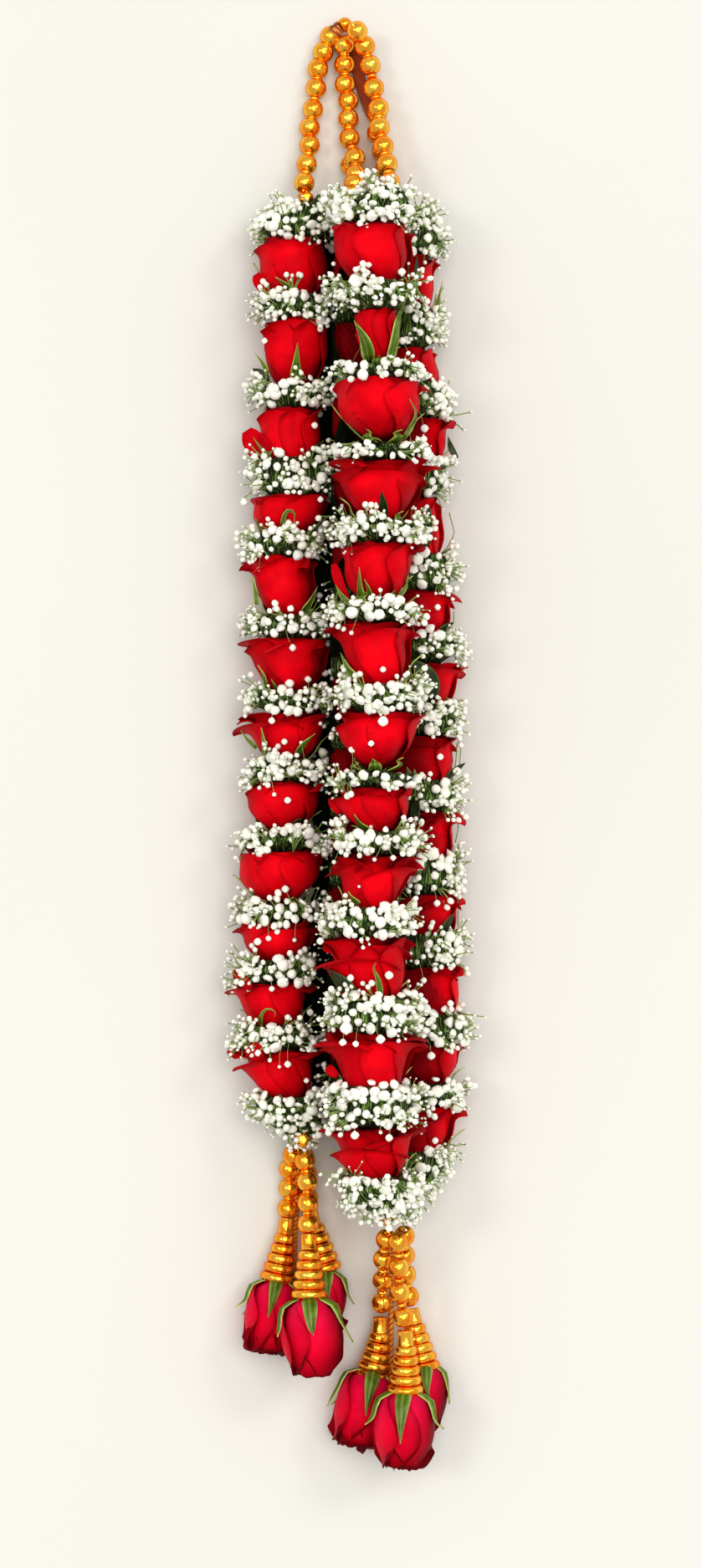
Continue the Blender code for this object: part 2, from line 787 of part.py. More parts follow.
def rosebud(row, name):
    """A bud without a bore, with its sepals, opening away from its strand."""
    radius, length = row["bud_radius"], row["bud_length"]
    strand_route = Route(row["route"])
    start = strand_route.point(strand_route.length)
    way = (Vector(row["bud_middle"]) - start).normalized()
    head = start + way * SEAT
    route = Route((head, head + way * length))
    shell = Shell(route.place)
    hip, heart = petal_rings(shell, radius, length, BUD_OPENNESS, 0.0)
    shell.close(hip, 0.0)
    shell.close(heart, HEART_HEIGHT * length)
    meshes = [shell.mesh(name)]
    for i in range(BUD_SEPALS):
        stations = (
            (0.20 * radius, 2.6, SEPAL_WIDTH),
            (0.96 * radius, 0.34 * length, SEPAL_WIDTH),
            (1.12 * radius, 0.52 * length, 0.0),
        )
        angle = TURN * (i + 0.25) / BUD_SEPALS
        meshes.append(sepal(route.place, angle, stations).mesh(f"{name}_sepal_{i}"))
    return meshes


def build_bunch(side, data, material):
    """The three buds of a tassel, pressed together where they lie on each other."""
    name = f"tassel_{side}_rosebuds"
    meshes = []
    for number, row in enumerate(data["strands"]):
        meshes += rosebud(row, f"{name}_{number}")
    item = add_object(name, meshes.pop(0))
    fuse(item, meshes)
    item.data.materials.clear()
    item.data.materials.append(material)


def build_tie(material):
    """The flat tie cord."""
    route = Route(TIE_ROUTE)

    def place(radius, angle, along):
        centre, side, up = route.frame(along)
        wide = side * radius * TIE_WIDTH / 2.0 * math.cos(angle)
        return centre + wide + up * radius * TIE_THICK / 2.0 * math.sin(angle)

    shell = Shell(place)
    rings = [
        shell.ring(TIE_SIDES, 1.0, route.length * i / TIE_RINGS) for i in range(TIE_RINGS + 1)
    ]
    for lower, upper in zip(rings, rings[1:]):
        shell.bridge(lower, upper)
    shell.close(rings[0], 0.0)
    shell.close(rings[-1], route.length)
    add_object("neck_tie_cord", shell.mesh("neck_tie_cord"), material)


def build_column(name, materials, draw):
    column = Column(name, COLUMNS[name])
    for index in range(len(column.rims)):
        node = f"rose_{name}_{index + 1:02d}"
        skin = strung_rose(column, index, draw.uniform(0.0, TURN))
        add_object(node, skin.mesh(node), materials["rose_petals"])
    node = f"babys_breath_{name}"
    item = add_object(node, greenery(column).mesh(node), materials["babys_breath"])
    sepals = column_sepals(column, draw)
    if sepals:
        fuse(item, sepals)
        item.data.materials.clear()
        item.data.materials.append(materials["babys_breath"])


def main():
    for item in list(bpy.data.objects):
        bpy.data.objects.remove(item)
    draw = random.Random(12)
    materials = {name: make_material(name) for name in FINISHES}
    for name in COLUMNS:
        build_column(name, materials, draw)
    for name, points in NECK_ROUTES.items():
        add_object(name, neck_strand(points).mesh(name), materials["gold_beads"])
    build_tie(materials["tie_cord"])
    for side, data in TASSELS.items():
        build_tassel(side, data, materials["gold_beads"])
        build_bunch(side, data, materials["bud_petals"])


main()
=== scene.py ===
"""Looks of the pair of rose garlands: petals, sepals, baby's breath, gold beads and tie cord.

The garlands lie along Y with the neck at +Y, X is across and Z is up from the table. Sizes and
places are in millimetres, and a mesh is made in metres.
"""

import json
import random
from functools import partial
from math import cos, exp, hypot, inf, pi, radians, sin, sqrt

import bmesh
import bpy
import numpy as np
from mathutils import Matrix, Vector

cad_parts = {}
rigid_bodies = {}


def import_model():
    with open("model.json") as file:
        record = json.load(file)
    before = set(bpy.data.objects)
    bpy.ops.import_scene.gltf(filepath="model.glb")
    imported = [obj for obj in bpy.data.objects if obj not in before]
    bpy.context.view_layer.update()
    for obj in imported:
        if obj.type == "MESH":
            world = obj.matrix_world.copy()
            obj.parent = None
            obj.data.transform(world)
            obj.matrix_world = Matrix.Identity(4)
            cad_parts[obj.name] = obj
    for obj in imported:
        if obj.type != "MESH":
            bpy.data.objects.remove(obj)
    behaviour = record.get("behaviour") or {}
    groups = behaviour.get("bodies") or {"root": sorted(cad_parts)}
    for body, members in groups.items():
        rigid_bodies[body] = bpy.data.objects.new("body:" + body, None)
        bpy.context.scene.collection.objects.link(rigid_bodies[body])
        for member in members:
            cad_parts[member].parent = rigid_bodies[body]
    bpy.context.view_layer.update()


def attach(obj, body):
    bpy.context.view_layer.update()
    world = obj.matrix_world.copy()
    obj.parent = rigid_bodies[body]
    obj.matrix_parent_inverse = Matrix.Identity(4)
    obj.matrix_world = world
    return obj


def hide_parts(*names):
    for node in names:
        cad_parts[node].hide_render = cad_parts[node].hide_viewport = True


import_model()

DRAW_SEED = 7
SCATTER_SEED = 3
MM = 0.001
TURN = 2.0 * pi
UP = pi / 2.0

# Columns, as in the part's source: three lie on the table and the right front one on two of them
GAP = 0.4
LOW_Z = 26.0
HIGH_Z = 68.6
SPAN_Y = (300.0, -280.0)
NOMINAL_X = {
    "left_front": (-31.0, -41.0),
    "left_back": (0.5, 0.5),
    "right_back": (32.0, 44.5),
    "right_front": (15.0, 14.0),
}
HEIGHTS = {"left_front": LOW_Z, "left_back": LOW_Z, "right_back": LOW_Z, "right_front": HIGH_Z}
# Open rims reach this far over the hidden back column, which keeps as far away
LEAN_OVER = 4.0

# Roses keep this far inside the walls of their column's cell
SEAT = 0.3
# The cup that a rose's outer petals make
HIP_SHARE = 0.56
HIP_MOST = 12.5
HIP_HEIGHT = 4.5
MIDDLE_HEIGHT = 0.68
LIP_HEIGHT = 0.90
LIP_CLOSED = 0.76
LIP_FLARE = 0.28
# A rim starts to roll at this share of its petal's height
ROLL_START = 0.72
PETAL_THICK = 0.7
SEPALS = 5
# A petal or leaf keeps this share of its thickness at its rim
EDGE_THIN = 0.4

# Collars of baby's breath. A step of a tuft is its share of the radius and of the way to the end
COLLAR_CORE = 8.5
TOP_TUFT = 28.0
TUFT_STEPS = ((1.02, 0.30), (0.84, 0.62), (0.46, 0.88))
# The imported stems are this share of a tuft's radius and end this share of the way along it
CORE_SHARE = 0.84
CORE_END = 0.94
# The bands that blooms stand on keep this far off the walls and over the table
BAND_MARGIN = 2.2
BAND_LOW = 3.4
# Blooms lower than this are pressed: what reached down to the depth lies just over the table
PRESS_UNDER = 3.0
PRESS_DEPTH = 5.0
PRESS_SHARE = 0.35
TABLE_SKIN = 0.2
# A single floret farther than this from its collar shows no stem
LONE_STEM_MOST = 17.0
# A single floret of this radius or less is a bud
LONE_BUD_MOST = 1.5

# Dark leaves: how many stand round each rose, and in the row between the left columns their pitch,
# how far above the foot they start and how much shorter than the column their row is
LEAVES_ROUND = 7
LEAF_PITCH = 11.0
LEAF_START = 12.0
LEAVES_SHORT = 30.0

# Gold beads, and how far apart the points of their threads are
THREAD_STEP = 1.5
BEAD_RADIUS = 6.3
TUBE_LENGTH = 9.5
DISC_COUNT = 5
DISC_PITCH = 5.8
DISC_RADII = (6.6, 11.0)
KNOT_RADIUS = 5.0

# Cords: how fast the plies of the gilt ones turn, in radians a millimetre
PLY_TWIST = 0.55

# The roses of each column from the neck down: where the rim is along Y, the middle across, width,
# how far the rim reaches out to the left and right and dips in front, how far florets reach up
# from the base, and how open it is. Then the middles of the top, the last base and the foot, the
# sizes of the last rose, foot and collars, the share of blooms, and the notches in the top tuft
# where strands come out, as middle, height and radius
COLUMNS = {
    "left_front": dict(
        rims=(307, 258, 206, 153, 116, 67, 22, -19, -61, -104, -140, -179.5),
        centres=(-35, -33, -36, -36.5, -42, -37.5, -38, -39.5, -43, -44, -47, -46),
        widths=(44, 44, 39, 49, 40, 49, 49, 46, 53.5, 46, 45, 46),
        lips=(
            (1, 0), (3, 0), (0, 0), (1, 3), (9, 0), (9, 6), (12, 9), (0, 1), (0, 3), (5, 3),
            (9, 4), (14, 3)),
        dips=(0.05, 0.02, 0.05, 0.1, 0.05, 0.08, 0.25, 0.1, 0.04, 0.15, 0.15, 0.15),
        lifts=(6.6, 4.2, 13, 5, 4.2, 4.2, 4, 3.5, 2.6, 4.4, 3.2, 5.2),
        openness=(0.3, 0.3, 0.25, 0.6, 0.4, 0.6, 0.9, 0.4, 0.5, 0.6, 0.7, 0.9),
        end_centres=(-26.5, -38, -30), last_height=35, foot_tuft=22.5, foot_size=0.9, foot_fall=0,
        collar_radius=24.8, blooms=1, notches=((-30, 335, 10),)),
    "left_back": dict(
        rims=(300, 256, 212, 168, 125, 84, 42, 0, -42, -83, -124, -165),
        centres=(0, 0, 1, 0, 1, 0, 1, 0, 1, 0, 1, 0),
        widths=(42, 44, 43, 45, 44, 43, 45, 44, 43, 45, 44, 43),
        openness=(0.4, 0.5, 0.3, 0.6, 0.4, 0.5, 0.6, 0.4, 0.5, 0.6, 0.4, 0.5),
        lips=((0, 0),) * 12, dips=(0.05,) * 12, lifts=(6,) * 12,
        end_centres=(0.5, 0.5, 0.5), last_height=35, foot_tuft=32, foot_size=1, foot_fall=0,
        collar_radius=25.5, blooms=0.2, notches=((1, 333, 10),)),
    "right_back": dict(
        rims=(297, 241, 199, 152, 95, 53, 8, -37, -87, -131, -177, -215),
        centres=(32, 30, 39.5, 34, 39, 42.5, 42, 42.5, 42, 44, 47.5, 43),
        widths=(42, 42, 44, 43, 41, 44, 43, 43, 43, 44, 41, 46),
        lips=(
            (0, 2), (0, 0), (0, 1), (0, 0), (0, 3), (0, 8), (0, 1), (0, 1), (0, 4), (0, 3), (0, 1),
            (0, 2)),
        dips=(0.05, 0.05, 0, 0.05, 0.05, 0.15, 0.1, 0.1, 0.05, 0.05, 0.1, 0),
        lifts=(16, 14, 11, 14, 6, 10.4, 9.5, 14, 12, 8.9, 5, 9.2),
        openness=(0.4, 0.4, 0.5, 0.4, 0.5, 0.6, 0.5, 0.6, 0.4, 0.5, 0.6, 0.5),
        end_centres=(36, 37, 20), last_height=36, foot_tuft=27, foot_size=1, foot_fall=0,
        collar_radius=23.8, blooms=1, notches=()),
    "right_front": dict(
        rims=(311, 261, 218, 171.5, 122.5, 76, 22.5, -22, -61, -110.5, -167, -222),
        centres=(9.5, 15.5, 16, 18, 17, 13.5, 16.5, 13, 16, 8.5, 13, 12.5),
        widths=(50.5, 25, 53.5, 55, 45, 47, 48.5, 45, 45.5, 52, 51, 51),
        lips=(
            (3, 0), (0, 1), (2, 3), (7, 7), (2, 8), (10, 3), (6, 9), (9, 2), (9, 10), (9, 6),
            (16, 12), (13, 8)),
        dips=(0.06, 0.05, 0, 0.25, 0.08, 0.1, 0.15, 0.2, 0.3, 0.25, 0.15, 0.4),
        lifts=(6, -1.8, -4, 3.2, -0.5, 6.5, -4.5, 3.2, 8, 11.5, 14, 6.7),
        openness=(0.35, 0.1, 0.35, 0.8, 0.5, 0.7, 0.5, 0.6, 0.8, 0.6, 0.9, 0.85),
        end_centres=(14, 14, 26), last_height=38, foot_tuft=23, foot_size=0.85, foot_fall=17,
        collar_radius=27.5, blooms=1, notches=((0.5, 334, 12), (21.5, 339, 9.5))),
}

# What the photograph shows over the roses: sepals, leaves and outer petals as width and the
# curve from base to tip, single florets as place and radius, and stems as tone and curve
SEEN = {
    "left_front": dict(
        sepals=(
            (5, -36.5, 267.5, -38, 274, -46, 280.5), (7, -34, 217, -33.5, 227, -32.5, 240.5),
            (3, -51, 224, -54, 230.5, -59, 236.5), (3, -49.5, 171.5, -54, 178, -59.5, 185.5),
            (3, -42, 131, -39.5, 139.5, -34.5, 139, -35, 132),
            (3, -51.5, 126.5, -55.5, 130.5, -58, 136.5), (4, -30, 79.5, -25, 86.5, -20.5, 96.5),
            (3, -57.5, 85, -58.5, 94.5, -61, 104.5), (3, -45, 30.5, -46.5, 36, -48.5, 40),
            (2.5, -51.5, 35, -53, 42, -56.5, 48.5), (3.5, -52, -5.5, -53, 2.5, -54.5, 11),
            (4, -33.5, -6.5, -29.5, 0.5, -22, 7.5), (3, -57.5, -1, -62.5, 3.5, -67.5, 10),
            (2.5, -55, -169, -54.5, -161, -50.5, -157, -46, -159, -46.5, -162)),
        leaves=(
            (5.5, -50, 220, -54, 223.5, -60, 227), (5, -28.5, 167.5, -25, 173.5, -19, 182.5),
            (4, -36, -50.5, -33.5, -46.5, -30, -43.5)),
        petals=(
            (9, -46.5, 273, -53.5, 277.5, -58, 284), (14, -46, 167, -55, 177, -63.5, 190),
            (8, -60.5, -145, -66.5, -140, -70, -134),
            (11, -54.5, -188, -58.5, -183, -60.5, -177.5)),
        florets=(
            (-22.5, 192, 2.2), (-19, 147.5, 2), (-52.5, 243, 1.8), (-35.5, 58.5, 2.2),
            (-26.5, 40, 2.2), (-37.5, 37.5, 3), (-48, 15, 2), (-19, 13.5, 1.4), (-38.5, -32.5, 2),
            (-55.5, -25, 1.4), (-46.5, -29, 1.4), (-40, -85.5, 2.4), (-56.5, -117, 2.4),
            (-50, -115, 1.8), (-34.5, -116, 1.4), (-48, -145, 1.8), (-38, 133.5, 2.2),
            (-38.5, -190, 2.2), (-43.5, -191.5, 1.2), (-33, 133.5, 1.4), (-27.5, -200.5, 1.8),
            (-40.5, 2.5, 2), (-30.5, 2, 1.4)),
        stems=(),
    ),
    "right_front": dict(
        sepals=(
            (8, 10, 227.5, 7.5, 238.5, 1, 251), (5.5, 22, 225.5, 25, 238.5, 27, 252, 33, 265.5),
            (3, 30, 181, 35.5, 189.5, 37.5, 196, 33.5, 203),
            (3, 7.5, 177.5, 12.5, 180, 17.5, 177.5), (4.5, 6, 83, 4.5, 93, 4, 104.5),
            (3.5, 11, 85, 9.5, 92, 7, 97.5), (3, 27.5, 88, 31.5, 93.5, 33, 100),
            (4, -1, 83, -6, 88, -10, 95), (4.5, 3, 39, -2.5, 45, -7, 55),
            (4, 10, -50.5, 5, -47, 1, -40.5), (3.5, 4, -93.5, 0, -90, -2.5, -86),
            (4, 16.5, -146.5, 15, -137, 12.5, -131, 14, -127)),
        leaves=(
            (5, 19, 132, 18.5, 139.5, 17, 148.5), (9, 3.5, -148.5, -5.5, -140.5, -14, -132),
            (8, 24.5, -209.5, 20, -205, 12.5, -201.5)),
        petals=(
            (6, -2.5, 86, -7.5, 96, -11, 107.5), (5, -7.5, -40.5, -10.5, -36, -13, -31),
            (6, -8.5, -195.5, -12, -193, -14.5, -189.5)),
        florets=(
            (9.5, 282, 2), (-0.5, 66, 1.4), (18, 44.5, 1.8), (0, -2.5, 2.2), (11, 1, 1.8),
            (18, 14, 3.2), (4, -83, 1), (13, -67, 1.4), (-1, -136.5, 2.2), (11.5, -139.5, 2),
            (21.5, -135, 2.6), (-5.5, -174.5, 2.2), (2, -175, 2), (16.5, -172, 2.6),
            (1.5, -228.5, 2.6), (21.5, -230, 2.2), (11, -48, 1.2), (24, -66, 1.8), (3, 277, 2.2)),
        stems=((0.9, 15.7, -97, 24, -94, 33, -100), (0.9, 17, -99, 25, -97.5, 31, -102)),
    ),
    "right_back": dict(
        sepals=((3, 51, 256.5, 52, 269, 54.5, 280),),
        leaves=(
            (3.5, 38, 273, 38.5, 283, 38.5, 292.5), (8, 44.5, 118.5, 44, 131, 45.5, 145),
            (4.5, 51, 66, 56, 71, 61, 74.5), (12, 48, 26, 45.5, 40, 34, 52),
            (4, 56, -20, 62, -14.5, 68, -10), (4.5, 53, -114, 56.5, -107.5, 61, -100),
            (4, 63.5, 173.5, 60, 178, 57.5, 185.5), (6, 38, -46.5, 37.5, -39, 39.5, -31.5)),
        petals=(),
        florets=(
            (44.5, 278, 1.4), (43, 189.5, 2.4), (50.5, -94, 2.2), (59, -132.5, 1.8),
            (42.5, -140, 2), (49.5, -133.5, 1.8), (51, 83, 2), (47, -185, 2.4), (60, -179.5, 2),
            (49.5, -236, 2), (45, -241, 2), (52.5, -6.5, 2)),
        stems=(
            (0, 65.5, 2, 64.8, -8, 64.4, -17), (0, 63, 2, 62.4, -8, 61, -17),
            (0, 63.8, -43, 63.6, -50, 62, -58), (0, 62.8, -82, 63.8, -95, 63.4, -108),
            (0, 58.3, 140.5, 61.3, 129, 60, 124), (0, 61, 81, 61, 74, 54, 69)),
    ),
}

# Middles of the neck's beads along each thread
NECK_BEADS = {
    "left": (
        (-29, 340.5, 19), (-27.6, 352.8, 12.3), (-25.8, 365.1, 8), (-25.8, 376, 6.6),
        (-23.9, 387, 6.5), (-22, 400, 6.5), (-20.8, 411.7, 6.5), (-17.7, 421.7, 6.5),
        (-13.4, 431.2, 7)),
    "middle": (
        (-5, 426, 7.5), (-4.8, 414.2, 6.5), (-4.5, 402.3, 6.5), (-2.4, 392.2, 6.5),
        (-2.4, 381.2, 6.6), (-1.7, 369.1, 9), (1.6, 356.2, 15), (2, 345.4, 20),
        (1.2, 338.8, 26)),
    "right": (
        (3, 431.5, 22), (7.6, 424, 14.5), (10.9, 412.5, 14), (13.1, 398.2, 17),
        (15.9, 385.4, 20.5), (16.3, 373.1, 25), (18.7, 360.8, 30.5), (20.9, 349.2, 37.5),
        (22.5, 336.4, 46)),
    "behind": (
        (14.8, 384.3, 6.5), (15, 372.6, 6.5), (18, 361.5, 7.5), (20.2, 350.6, 10.5),
        (22.5, 340.5, 16)),
}
LOOSE_BEAD = ((-1, 353, 6.3), (-1, 353.1, 6.3))
APEX_BEAD = (-4.5, 438, 9)
APEX_BEAD_SCALE = 0.72
# Gold foil where strands come out of the tufts, with its size
FOIL_CAPS = (
    ("left", (-28, 330.5, 23), 4.6), ("left", (1, 332, 34), 5.2), ("right", (22.5, 328, 56), 4.8))
TIE_ROUTE = (
    (-1.5, 434, 2), (0.8, 428.5, 2), (2.8, 418.5, 2), (4.2, 408.5, 2.2), (6.6, 399.4, 2.4),
    (9.6, 390.8, 4), (12, 383.5, 6))
TIE_WIDTH = 7.4
TIE_THICK = 2.6

# The routes of a tassel's thread, gilt cord and strands. A strand also has its number of round
# beads, and its bud's end, length, radius and how far it sits inside the last discs
TASSELS = {
    "left": dict(
        knot=(-30, -236, 36), thread=((-30, -240, 32), (-30.5, -228, 30), (-31, -214, 26)),
        cord=((-31, -245, 20), (-33.5, -262, 10), (-34.5, -285, 6), (-36, -322, 5)),
        strands=(
            (((-33, -244, 24), (-37.5, -250, 16), (-38.3, -260, 9.5), (-38.6, -272, 8),
              (-40, -289, 9), (-42, -304, 11.4), (-45.8, -324.5, 11.8)),
             4, (-48.8, -345.5, 16.8), 45, 18, 1),
            (((-31.5, -244, 27), (-28, -251, 29), (-26.8, -265.5, 30), (-26.5, -288, 34),
              (-26, -306, 38), (-26, -331.5, 41)),
             4, (-24.4, -355.6, 42), 48, 19.7, 2),
            (((-31, -244.5, 24), (-28.5, -250, 15), (-27.5, -260, 9), (-27, -272, 8),
              (-24.5, -287, 9), (-21, -299, 11.4), (-16.8, -318.5, 11.8)),
             3, (-18.6, -338.5, 14.5), 38, 15, 1.5))),
    "right": dict(
        knot=(21.5, -281, 58), thread=((24, -286, 54), (22.5, -276, 52), (20, -262, 50)),
        cord=((25, -294, 46), (23.8, -318, 26), (23.6, -340, 9), (23, -384, 5)),
        strands=(
            (((22, -288.5, 52), (19.6, -298, 43), (18.6, -310, 32), (18.3, -325, 20),
              (17.8, -338, 11.5), (17, -351, 10.5), (15.7, -363, 11.4), (11.2, -384, 11.8)),
             4, (4.6, -407, 16.8), 48.5, 19, 6),
            (((26.5, -288, 54), (27.6, -302, 52), (27.8, -323, 47), (29.7, -337, 44),
              (31.9, -355, 42.5), (31.7, -388, 41)),
             4, (30.2, -412.4, 41.5), 49.5, 20, 3),
            (((31, -286, 49), (31.2, -299, 40), (31.8, -311, 28), (32.8, -324, 18),
              (35, -338, 11), (38, -352, 11), (43, -379, 11.8)),
             4, (41, -399.5, 14.5), 43, 15.5, 6))),
}


# Colours and nodes


def linear(colour):
    """An sRGB hex colour as linear light, with full opacity."""
    channels = [int(colour[i:i + 2], 16) / 255.0 for i in (0, 2, 4)]
    return (*(c / 12.92 if c <= 0.04045 else ((c + 0.055) / 1.055) ** 2.4 for c in channels), 1.0)


def wire(node, **inputs):
    """Gives inputs their values and links. A name has _ for a space, or is n and the input's
    number, and a node that is linked gives the first output that it has in use."""
    for name, value in inputs.items():
        socket = node.inputs[int(name[1:]) if name[1:].isdigit() else name.replace("_", " ")]
        if isinstance(value, bpy.types.Node):
            value = next(output for output in value.outputs if output.enabled)
        if isinstance(value, bpy.types.NodeSocket):
            node.id_data.links.new(value, socket)
        else:
            socket.default_value = value
    return node


def add_node(tree, kind, settings=None, stops=(), **inputs):
    """A node of a kind, with its settings and its inputs' values and links. The stops of a ramp
    are pairs of place and sRGB colour."""
    node = tree.nodes.new(kind if "Node" in kind else "ShaderNode" + kind)
    for name, value in (settings or {}).items():
        setattr(node, name, value)
    # A new ramp has two stops
    for _ in stops[2:]:
        node.color_ramp.elements.new(0.5)
    for number, (place, colour) in enumerate(stops):
        node.color_ramp.elements[number].position = place
        node.color_ramp.elements[number].color = linear(colour)
    return wire(node, **inputs)


def new_material(name, **sockets):
    """A material whose shader sockets hold what is the same all over the surface, with its
    shader and what adds a node to it."""
    material = bpy.data.materials.new(name)
    material.use_nodes = True
    tree = material.node_tree
    return material, wire(tree.nodes["Principled BSDF"], **sockets), partial(add_node, tree)


COLOUR_MIX = {"data_type": "RGBA"}
COLOUR_TIMES = {"data_type": "RGBA", "blend_type": "MULTIPLY"}
PATTERN_MAP = {"uv_map": "pattern"}
TONE = {"attribute_name": "tone"}


def petal_material(name, stops, shade, cloud):
    """Fresh rose petal: velvety skin with a soft sheen, fine veins that run from base to rim,
    a slow change of tone over each petal, and a thin darker rim."""
    material, shader, add = new_material(
        name, Roughness=0.52, IOR=1.42, Specular_IOR_Level=0.22, Specular_Tint=linear("FF8A90"),
        Sheen_Weight=0.05, Sheen_Roughness=0.4, Sheen_Tint=linear("FF3050"),
        Subsurface_Weight=0.08, Subsurface_Scale=0.004, Subsurface_Radius=(1.0, 0.05, 0.04))
    petal_map = add("UVMap", PATTERN_MAP)
    place = add("TexCoord").outputs["Object"]
    up = add("SeparateXYZ", Vector=petal_map).outputs["Y"]
    along = add("ValToRGB", stops=stops, Fac=up)
    # Veins about 0.8 mm apart on a petal 40 mm wide
    stretched = add("Mapping", Vector=petal_map, Scale=(46.0, 3.0, 1.0))
    veins = add("TexNoise", Vector=stretched, Scale=1.0, Detail=2.0, Distortion=0.4)
    # Cloudy tone in patches of about 14 mm
    clouds = add("TexNoise", Vector=place, Scale=70.0, Detail=2.0)
    mottle = add("MapRange", Value=clouds, From_Min=0.35, From_Max=0.65, To_Max=cloud)
    cloudy = add("Mix", COLOUR_MIX, Factor=mottle, n6=along, n7=linear(shade))
    # The tone attribute paints shade: petals turn towards the shade colour on their sides, in the
    # inner layers, at their side edges and on the back columns
    tone = add("Attribute", TONE).outputs["Fac"]
    deep = add("Mix", COLOUR_MIX, Factor=tone, n6=cloudy, n7=linear(shade))
    streak = add("MapRange", Value=veins, From_Min=0.3, From_Max=0.7, To_Min=0.955, To_Max=1.01)
    veined = add("Mix", COLOUR_TIMES, Factor=1.0, n6=deep, n7=streak)
    skin = add("Bump", Height=veins, Strength=0.05, Distance=0.0005)
    # Soft dents about 9 mm wide, as where petals have been handled
    dents = add("TexNoise", Vector=place, Scale=110.0, Detail=1.0)
    dented = add("Bump", Height=dents, Strength=0.25, Distance=0.002, Normal=skin)
    wire(shader, Base_Color=veined, Normal=dented)
    return material


def bloom_material():
    """Baby's breath: matt papery white florets, greener in their hearts and underneath, on thin
    green stems. The tone of each point says which: 0 is stem and 1 is the outermost petal."""
    material, shader, add = new_material(
        "babys_breath_papery_white", Roughness=0.68, IOR=1.4, Subsurface_Weight=0.3,
        Subsurface_Scale=0.002, Subsurface_Radius=(1.0, 1.0, 0.8), Sheen_Weight=0.1)
    colour = add("ValToRGB", Fac=add("Attribute", TONE).outputs["Fac"], stops=(
        (0.0, "6E8C3E"), (0.16, "8BA55A"), (0.30, "BCCB98"), (0.50, "E4EAD6"), (0.80, "F9FBF1")))
    place = add("TexCoord").outputs["Object"]
    # Patches of about 8 mm are a little warmer, as in older florets
    age = add("TexNoise", Vector=place, Scale=120.0, Detail=2.0)
    older = add("MapRange", Value=age, From_Min=0.55, From_Max=0.75, To_Max=0.5)
    aged = add("Mix", COLOUR_TIMES, Factor=older, n6=colour, n7=linear("F4ECDD"))
    # Crumpled petals about 1 mm wide
    crumple = add("TexNoise", Vector=place, Scale=900.0, Detail=1.0)
    bump = add("Bump", Height=crumple, Strength=0.5, Distance=0.0006)
    wire(shader, Base_Color=aged, Normal=bump)
    return material


def leaf_material(name, edge, low, beside, vein, high, wax=1.0):
    """Waxy rose leaf or sepal: a pale edge, a pale middle vein and side veins. Low and high are
    the stops of the blade on each side of the vein, and little wax makes it dull."""
    material, shader, add = new_material(
        name, Roughness=0.84 - 0.42 * wax, IOR=1.45, Specular_IOR_Level=0.1 + 0.4 * wax,
        Coat_Weight=0.08 * wax, Subsurface_Weight=0.06, Subsurface_Scale=0.002,
        Subsurface_Radius=(0.5, 1.0, 0.3))
    leaf_map = add("UVMap", PATTERN_MAP)
    side = add("SeparateXYZ", Vector=leaf_map).outputs["X"]
    across = add("ValToRGB", Fac=side, stops=(
        (0.0, edge), *low, (0.47, beside), (0.50, vein), (0.53, beside), *high, (1.0, edge)))
    # Lighter and darker patches of about 7 mm
    patches = add("TexNoise", Vector=add("TexCoord").outputs["Object"], Scale=140.0, Detail=3.0)
    light = add("MapRange", Value=patches, From_Min=0.3, From_Max=0.7, To_Min=0.65, To_Max=1.2)
    colour = add("Mix", COLOUR_TIMES, Factor=1.0, n6=across, n7=light)
    # Veins about 0.7 mm apart
    stretched = add("Mapping", Vector=leaf_map, Scale=(9.0, 2.0, 1.0))
    veins = add("TexNoise", Vector=stretched, Scale=1.0, Detail=3.0)
    bump = add("Bump", Height=veins, Strength=0.35, Distance=0.0006)
    wire(shader, Base_Color=colour, Normal=bump)
    return material


def foliage_material():
    """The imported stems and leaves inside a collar: deep green in shade, streaked lengthways."""
    material, shader, add = new_material("packed_stems_dark_green", Roughness=0.8, IOR=1.4)
    # Stems about 1.2 mm apart round a collar of 26 mm radius
    stretched = add("Mapping", Vector=add("UVMap", PATTERN_MAP), Scale=(130.0, 9.0, 1.0))
    stems = add("TexNoise", Vector=stretched, Scale=1.0, Detail=3.0, Distortion=0.8)
    colour = add("ValToRGB", Fac=stems, stops=(
        (0.38, "0A1004"), (0.50, "1E2C0E"), (0.58, "5E7C32"), (0.70, "B2CA86")))
    bump = add("Bump", Height=stems, Strength=0.9, Distance=0.002)
    wire(shader, Base_Color=colour, Normal=bump)
    return material


def gold_material():
    """Moulded plastic bead with a vacuum-plated orange gold coat: a mirror that is slightly
    uneven where the plating pooled, with fine dulling from handling."""
    material, shader, add = new_material(
        "vacuum_plated_gold_bead", Metallic=0.9, Specular_Tint=linear("F0A040"),
        Coat_Weight=0.5, Coat_Roughness=0.05)
    place = add("TexCoord").outputs["Object"]
    # Plating is redder in patches of about 10 mm
    patches = add("TexNoise", Vector=place, Scale=100.0, Detail=2.0)
    colour = add("ValToRGB", Fac=patches, stops=((0.35, "FF9E18"), (0.65, "FFC84C")))
    # Handling marks of about 1.5 mm
    marks = add("TexNoise", Vector=place, Scale=650.0, Detail=2.0)
    dull = add("MapRange", Value=marks, From_Min=0.35, From_Max=0.7, To_Min=0.14, To_Max=0.22)
    # The mould leaves dents about 4 mm wide
    dents = add("TexNoise", Vector=place, Scale=260.0, Detail=1.0)
    bump = add("Bump", Height=dents, Strength=0.30, Distance=0.001)
    wire(shader, Base_Color=colour, Roughness=dull, Normal=bump)
    return material


